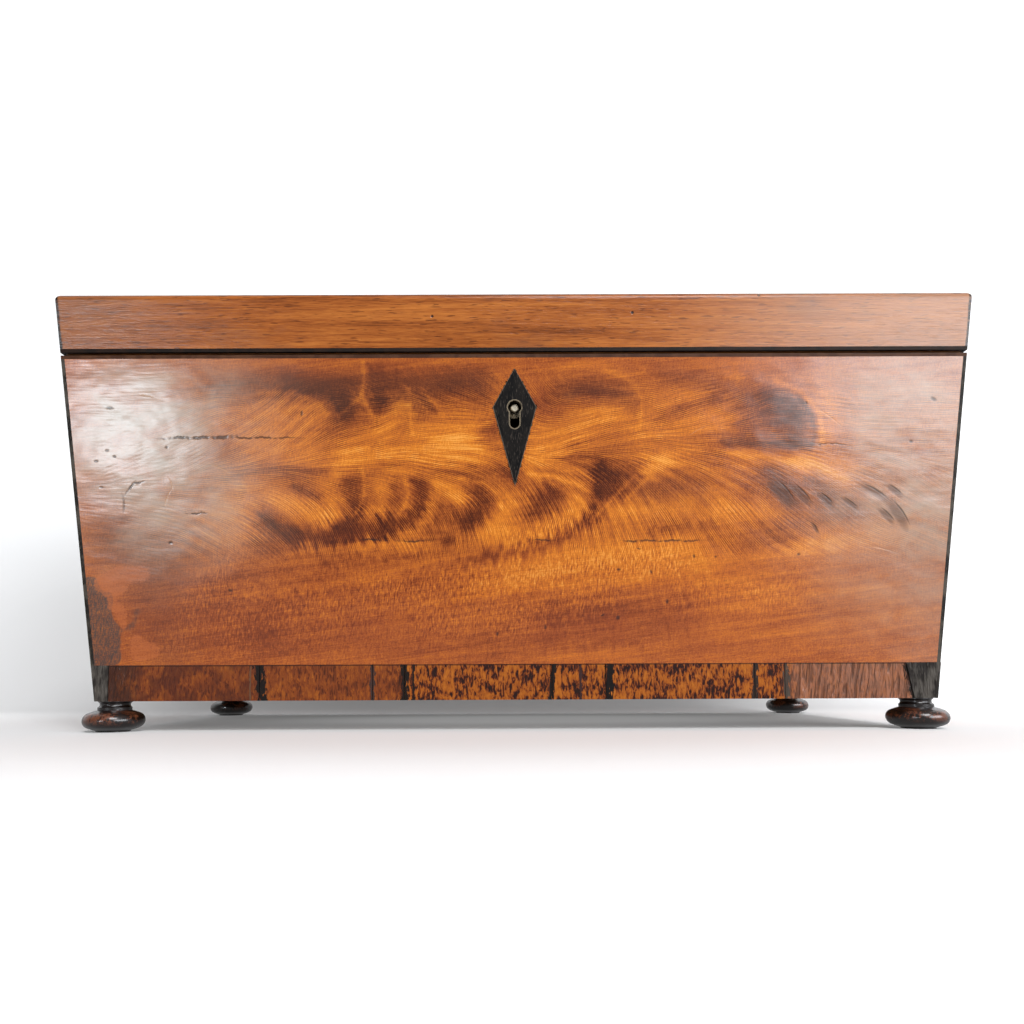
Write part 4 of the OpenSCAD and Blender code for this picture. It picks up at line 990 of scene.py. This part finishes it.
fine_hairs = hair_strokes(3.4, 0.6)
middle_hairs = hair_strokes(7.0, 1.3)
broad_hairs = hair_strokes(15.0, 3.6)
clouds = leaf_noise(0.014, 0.008, 0, 4.0, bend=0.4)
bands = leaf_noise(0.055, 0.0024, -7, 3.0, 0.62, 0.5)
grain = leaf_noise(0.007, 0.00042, -6, 3.0, bend=0.3)
ripples = leaf_noise(0.00052, 0.0022, 6, 2.0, bend=0.3)
speckle = leaf_noise(0.00055, 0.00042, 0, 3.0, 0.7)
hair_tone = flame.sum(
    flame.times(fine_hairs, 1.8),
    flame.times(middle_hairs, flame.span(clouds, -0.15, 0.15, 0.35, 1.1)),
    flame.times(broad_hairs, 0.65),
)
level_tone = flame.sum(flame.times(bands, 1.5), flame.times(grain, 1.0))
tone = flame.sum(
    flame.times(flame.written("figure"), 0.85),
    flame.times(hair_tone, hairy),
    flame.times(level_tone, flame.span(hairy, 0.0, 1.0, 1.0, 0.4, False)),
    flame.times(clouds, 0.7),
    flame.times(speckle, flame.span(hairy, 0.0, 1.0, 1.7, 1.35, False)),
    flame.times(ripples, flame.span(flame.written("ripple"), 0.0, 1.0, 0.9, 4.0, False)),
)
skin = flame.colours(
    flame.span(tone, -1.2, 1.3, soft=False),
    (0.05, "#42190a"), (0.24, "#703312"), (0.37, "#92481b"), (0.48, "#ac5b22"), (0.64, "#ca7022"),
    (0.80, "#e08628"), (0.96, "#f0a146"),
)
skin = flame.over(flame.span(hairy, 0.0, 1.0, 0.25, 0.0, False), skin, "#a44a1e")
print("figure:", len(flame.tree.nodes), "nodes")

# %% [markdown]
# Then come the years. Smoke and blush tint what is under them, and dark pores are set into the
# level grain. Soot, worn polish and the milky painted highlight of the soft boxes are broken up by
# the clouds and the speckle, so that none of them ends in a clean line. The marks get their dirt
# last, and the crescents their painted shade. The polish itself is a little uneven: it has sunk
# with the wood, and it was brushed and rubbed along the length of the leaf.

# %% Age of the front
skin = flame.over(flame.times(flame.written("smoke"), 0.6), skin, flame.over(0.55, skin, "#5a3b2c"))
skin = flame.over(flame.times(flame.written("blush"), 0.5), skin, flame.over(0.6, skin, "#8a3c20"))
pores = flame.noise(flame.laid((0.0024, 1, 0.00022), (0, -3, 0)), 1.0)
pore = flame.times(flame.span(pores, 0.61, 0.72), flame.span(hairy, 0.0, 1.0, 1.0, 0.35, False))
skin = flame.over(flame.times(pore, 0.4), skin, "#4a2311")
broken = flame.sum(flame.times(clouds, 1.2), flame.times(speckle, 0.8), 1.0)
soot = flame.span(flame.times(flame.written("soot"), broken), 0.38, 0.56)
soot_grain = flame.span(flame.sum(speckle, ripples), -0.25, 0.3, 0.95, 0.45)
skin = flame.over(flame.times(soot, soot_grain), skin, "#463a35")
worn = flame.span(flame.times(flame.written("pale"), broken), 0.42, 0.62)
worn_grain = flame.span(flame.sum(speckle, bands), -0.3, 0.3, 0.3, 0.85)
skin = flame.over(flame.times(worn, worn_grain), skin, "#b5602f")
glare_mask = flame.written("painted_glare")
painted_glare = flame.sum(glare_mask, flame.times(flame.times(clouds, glare_mask), 2.2))
# Painted highlight: the soft boxes' glare and haze as a milky tint.
skin = flame.over(flame.times(painted_glare, 0.75, held=True), skin, "#b0a090")
# The second colour darkens cracks and pits with dirt and the crescents with painted shade.
MARK_COLOURS = (("bruise", 0.62, "#503931"), ("stain_and_shade", 0.9, "#231b19"), ("bare", 0.3, "#d0a67e"))
for name, share, code in MARK_COLOURS:
    skin = flame.over(flame.times(flame.written(name), share), skin, code)
sunk = flame.noise(flame.laid((0.030, 1, 0.018)), 3.0, 0.55)
brush = flame.noise(flame.laid((0.010, 1, 0.0009), (0, 2, 0)), 2.0, 0.6)
rubbed = flame.sum(flame.times(brush, 0.5), flame.times(middle_hairs, 0.25))
rise = flame.relief(rubbed, 0.00004, flame.relief(sunk, 0.0005))
let_go()
bpy.context.view_layer.objects.active = leaf
leaf.select_set(True)
bpy.ops.object.shade_smooth_by_angle(angle=math.radians(35))
leaf.data.materials.append(flame.done(skin, rise))
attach(leaf, "case")
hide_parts("front_veneer")
print("figured front in place")

# %% [markdown]
# ## The other pieces
# Under the veneer is the carcass, in a plain pale softwood that has gone brown. It is never
# polished, so it has no coat and a high roughness.

# %% Carcass wood
def carcass_wood():
    wood = Finish("carcass_wood", roughness=0.75, gloss=0.25)
    rings = wood.noise(wood.laid((0.25, 0.006, 0.006)), 3.0, 0.5, 0.8)
    fibres = wood.noise(wood.laid((0.02, 0.0007, 0.0007)), 2.0, 0.6)
    tone = wood.mottle(rings, fibres)
    skin = wood.colours(tone, (0.35, "#7d5230"), (0.5, "#a87848"), (0.66, "#c2935f"))
    soiled = wood.noise(wood.laid((0.05, 0.05, 0.03)), 3.0)
    skin = wood.over(wood.span(soiled, 0.5, 0.75, 0.0, 0.5), skin, "#6b4526")
    return wood.done(skin, wood.relief(tone, 0.0001))


dress(
    carcass_wood(),
    "case_front_board", "case_back_board", "case_left_board", "case_right_board",
    "case_bottom_board", "lid_top_board",
    "lid_front_rail", "lid_back_rail", "lid_left_rail", "lid_right_rail",
)

# %% [markdown]
# The base is banded with short pieces of a mottled tropical wood, laid with the grain upright. Dark
# sap runs in short flecks, and some joints lie in nearly black wood. The flecks are a noise
# stretched up and down, and the black stripes are laid one by one where the joints are. Towards the
# ends of the front the pieces differ: fibrous, brown, and at last rough and worn, with ridges that
# stand up.

# %% Cross banding
# Joint stripes on the front: middle across, half width, lean in degrees, colour
JOINT_STRIPES = (
    (-82.0, 1.5, -7.0, "#140d0a"),
    (-85.4, 0.3, 0.0, "#65442f"),
    (-46.1, 0.7, 0.0, "#3b2a26"),
    (-35.7, 1.2, 2.0, "#150d09"),
    (-33.0, 0.4, 0.0, "#1c100c"),
    (11.6, 0.9, 7.0, "#130c0a"),
    (20.7, 0.4, 0.0, "#3a2320"),
    (30.0, 1.3, 2.0, "#100a09"),
    (76.8, 0.8, 3.0, "#2a201c"),
    (86.9, 0.8, 0.0, "#4a4038"),
    (126.6, 1.0, -11.0, "#221c18"),
)
BANDING_MIDDLE_Z = 15.3 * MM


def cross_banding(name):
    """The mottled wood, its colour so far, and its two patterns."""
    wood = Finish(name, roughness=0.4, coat=0.5, coat_roughness=0.2, gloss=0.1)
    flecks = wood.noise(wood.laid((0.00095, 0.00095, 0.0026)), 3.0, 0.62, 0.5)
    fine = wood.noise(wood.laid((0.0004, 0.0004, 0.006)), 2.0, 0.6)
    patches = wood.noise(wood.laid((0.008, 0.008, 0.006)))
    tone = wood.sum(wood.times(flecks, 0.62), wood.times(fine, 0.16), wood.times(patches, 0.34))
    skin = wood.colours(
        tone,
        (0.465, "#220e09"), (0.515, "#42190c"), (0.55, "#7e3c14"),
        (0.60, "#a05518"), (0.72, "#b56820"),
    )
    return wood, skin, flecks, fine


def side_banding_finish():
    wood, skin, flecks, _ = cross_banding("side_banding")
    return wood.done(skin, wood.relief(flecks, 0.0001))


def front_banding_finish():
    wood, skin, flecks, fine = cross_banding("front_banding")
    across = wood.axis("X")
    fibrous = wood.span(across, -0.034, -0.040)
    skin = wood.over(wood.times(fibrous, wood.span(fine, 0.35, 0.6, 0.25, 0.85)), skin, "#7b3a18")
    blotches = wood.noise(wood.laid((0.007, 0.007, 0.012)), 3.0, 0.6)
    brown = wood.span(across, -0.078, -0.086)
    skin = wood.over(wood.times(brown, wood.span(blotches, 0.42, 0.58, 0.75, 0.1)), skin, "#4c2113")
    rough = wood.span(across, 0.084, 0.092)
    skin = wood.over(wood.times(rough, wood.span(fine, 0.3, 0.7, 0.5, 0.9)), skin, "#9c6a52")
    worn = wood.span(across, -0.118, -0.127)
    skin = wood.over(wood.times(worn, 0.6), skin, "#2b1b15")
    for middle, half, lean, code in JOINT_STRIPES:
        stripe = wood.laid((half * MM, 1, 1), (0, lean, 0), (middle * MM, 0, BANDING_MIDDLE_Z))
        edge = wood.sum(
            wood.axis("X", stripe),
            wood.times(wood.sum(flecks, -0.5), 4.2),
            wood.times(wood.sum(fine, -0.5), 2.0),
        )
        skin = wood.over(wood.span(wood.aside(edge), 1.15, 0.8), skin, code)
    top_joint = wood.span(wood.axis("Z"), 0.02035, 0.02060)
    skin = wood.over(wood.times(top_joint, 0.75), skin, "#25120c")
    ridged = wood.most(rough, worn)
    ridges = wood.noise(wood.laid((0.0011, 1, 0.009), (0, 8, 0)), 2.0, 0.5, 0.6)
    # Painted shade: the valleys between the ridges are darkened.
    skin = wood.over(wood.times(ridged, wood.span(ridges, 0.5, 0.4, 0.0, 0.6)), skin, "#43271c")
    rise = wood.relief(wood.times(ridged, ridges), 0.0014, wood.relief(flecks, 0.00012))
    return wood.done(skin, rise)


dress(side_banding_finish(), "side_bandings", "back_banding")
dress(front_banding_finish(), "front_banding")

# %% [markdown]
# Stringing, corner patches and the lock's kite are a black wood, rubbed to a dull shine and
# scratched. Noise stretched along the piece gives fine scratches. At the corners dust and wax
# have turned it grey, and the proud patches there are ridged. The kite is rubbed along its sides
# to a thin pale line.

# %% Black wood
def black_wood(name, base, grey, dust, scratch, edge=None, gloss=0.2, ridge=0.00008):
    """Black wood with a share of grey dust, and with scratches of a size in metres."""
    wood = Finish(name, roughness=0.6, gloss=gloss)
    scratches = wood.noise(wood.laid(scratch), 2.0, 0.6)
    dusty = wood.noise(wood.laid((0.004, 0.004, 0.008)), 3.0, 0.6)
    skin = wood.over(wood.span(dusty, 0.42, 0.62, 0.0, dust), base, grey)
    skin = wood.over(wood.span(scratches, 0.56, 0.70, 0.0, 0.65), skin, grey)
    if edge:
        skin = wood.over(edge(wood), skin, "#7d6c5c")
    return wood.done(skin, wood.relief(scratches, ridge))


def kite_edge(wood):
    """A thin rubbed line along the sides of the kite."""
    place = wood.laid((KITE_HALF * MM, 1, MM), middle=(0, 0, KEYHOLE_Z))
    beside, above = wood.aside(wood.axis("X", place)), wood.axis("Z", place)
    out = wood.most(
        wood.sum(beside, wood.times(above, 1 / KITE_UP)),
        wood.sum(beside, wood.times(above, -1 / KITE_DOWN)),
    )
    return wood.times(wood.span(out, 0.955, 0.985), 0.6)


stringing = black_wood("stringing_wood", "#1d1916", "#5a534a", 0.7, (0.0002, 0.0002, 0.012))
lid_rim = black_wood("lid_rim_wood", "#25150d", "#120c09", 0.8, (0.012, 0.0004, 0.0004))
case_rim = black_wood("case_rim_wood", "#412516", "#5f3d28", 0.5, (0.03, 0.0008, 0.0008))
kite_wood = black_wood(
    "escutcheon_wood", "#080606", "#514840", 0.08, (0.00026, 0.00026, 0.011), kite_edge, gloss=0.12
)
patch_wood = black_wood(
    "patch_wood", "#241f1c", "#615b54", 0.7, (0.0007, 0.0007, 0.009), ridge=0.0009
)
dress(stringing, "corner_stringing")
dress(lid_rim, "lid_rim_stringing")
dress(case_rim, "case_rim_stringing")
dress(kite_wood, "escutcheon")
dress(patch_wood, "base_corner_patches")

# %% [markdown]
# The feet are turned in rosewood and stained almost black. Where hands and cloths have rubbed
# them the stain has gone in small speckles. A noise at two sizes, kept to the belly of the bun,
# gives that wear.

# %% Turned rosewood
def turned_rosewood():
    wood = Finish("turned_rosewood", roughness=0.35, coat=0.7, coat_roughness=0.12, gloss=0.4)
    broad = wood.noise(wood.laid((0.007, 0.007, 0.005)))
    specks = wood.noise(wood.laid((0.0007, 0.0007, 0.0009)), 3.0, 0.7)
    over_pad = wood.span(wood.axis("Z"), 0.0016, 0.0042)
    under_neck = wood.span(wood.axis("Z"), 0.0072, 0.0058)
    rubbed = wood.span(wood.sum(wood.times(broad, 0.55), wood.times(specks, 0.55)), 0.55, 0.63)
    worn = wood.times(rubbed, wood.times(over_pad, under_neck))
    skin = wood.over(wood.times(worn, 0.8), "#120806", "#74412a")
    return wood.done(skin, wood.relief(specks, 0.00005))


FEET = ("foot_front_left", "foot_front_right", "foot_rear_left", "foot_rear_right")
dress(turned_rosewood(), *FEET)

# %% [markdown]
# Brass and steel are metals: their colour is in the reflection, and age shows as a change of
# roughness and as brown tarnish in patches. The lock is almost black, a painted shade for the
# inside of the keyhole, and its pin is pale, a painted highlight. The thin liner of the keyhole is
# worn bright in places.

# %% Metals
def metal(name, bright, tarnish, roughness=0.32, amount=0.5):
    work = Finish(name, roughness=roughness, metal=1.0)
    blots = work.noise(work.laid((0.006, 0.006, 0.006)), 4.0, 0.6)
    fine = work.noise(work.laid((0.0008, 0.0008, 0.0008)), 3.0, 0.6)
    dull = work.span(work.mottle(blots, fine), 0.42, 0.66)
    skin = work.over(work.times(dull, amount), bright, tarnish)
    rough = work.span(dull, 0.0, 1.0, roughness, roughness + 0.25, False)
    return work.done(skin, work.relief(fine, 0.00003), rough)


brass = metal("brass", "#c9a052", "#6d5128")
steel = metal("steel", "#a5a39c", "#4c4038", 0.3, 0.6)
# Painted shade: the lock behind the keyhole is almost black.
dark_lock = metal("keyhole_shade_brass", "#1c150b", "#070504", 0.6, 0.9)
# Painted highlight: the pin is pale, as a glint on it would be.
pin_painted_highlight = metal("pin_painted_highlight", "#ddd2bd", "#a39a86", 0.25, 0.4)
worn_liner = metal("worn_liner", "#978872", "#211b16", 0.4, 0.9)
dress(dark_lock, "lock_cap", "lock_body")
dress(pin_painted_highlight, "lock_pin")
dress(brass, "link_plate", "case_screws", "lid_screws", "hinge_pins")
dress(brass, "left_hinge_case_leaf", "right_hinge_case_leaf")
dress(brass, "left_hinge_lid_leaf", "right_hinge_lid_leaf")
dress(brass, "left_cover_knob", "right_cover_knob")
dress(worn_liner, "keyhole_liner")
dress(steel, "lock_bolt", "lock_spring")

# %% [markdown]
# The tea wells are lined with a soft tin alloy, pressed in by hand, which is dull, dented and
# streaked grey. The bowl is clear glass, its well is lined with green baize, and the lid inside
# is papered.

# %% Tin, glass, baize and paper
def tin_lining():
    work = Finish("tin_lining", roughness=0.42, metal=0.9)
    cloud = work.noise(work.laid((0.016, 0.016, 0.02)), 4.0, 0.6)
    fine = work.noise(work.laid((0.001, 0.001, 0.006)), 3.0, 0.6)
    tone = work.mottle(cloud, fine)
    skin = work.colours(tone, (0.35, "#6f706d"), (0.5, "#9a9b98"), (0.68, "#b9bab6"))
    dents = work.relief(work.noise(work.laid((0.012, 0.012, 0.012))), 0.0008)
    rough = work.span(cloud, 0.3, 0.7, 0.3, 0.6, False)
    return work.done(skin, work.relief(fine, 0.00005, dents), rough)


def bowl_glass():
    work = Finish("bowl_glass", roughness=0.03)
    work.shader.inputs["Transmission Weight"].default_value = 1.0
    work.shader.inputs["IOR"].default_value = 1.5
    wavy = work.noise(work.laid((0.02, 0.02, 0.03)))
    return work.done("#f2fbf8", work.relief(wavy, 0.0003))


def baize():
    work = Finish("green_baize", roughness=0.95, gloss=0.1)
    work.shader.inputs["Sheen Weight"].default_value = 0.4
    fuzz = work.noise(work.laid((0.0006, 0.0006, 0.0006)), 3.0, 0.7)
    worn = work.noise(work.laid((0.012, 0.012, 0.012)))
    tone = work.mottle(worn, fuzz)
    skin = work.colours(tone, (0.36, "#23402a"), (0.5, "#34583b"), (0.66, "#4d7350"))
    return work.done(skin, work.relief(fuzz, 0.0003))


def lining_paper():
    work = Finish("lining_paper", roughness=0.8, gloss=0.2)
    fibres = work.noise(work.laid((0.0012, 0.0005, 0.0008)), 3.0, 0.6)
    foxing = work.noise(work.laid((0.008, 0.008, 0.008)), 4.0, 0.6)
    skin = work.colours(fibres, (0.35, "#b7a078"), (0.65, "#cfbd96"))
    skin = work.over(work.span(foxing, 0.55, 0.72, 0.0, 0.5), skin, "#94703f")
    return work.done(skin, work.relief(fibres, 0.0001))


dress(tin_lining(), "left_tin_lining", "right_tin_lining")
dress(bowl_glass(), "mixing_bowl")
dress(baize(), "well_baize")
dress(lining_paper(), "lid_lining_panel")
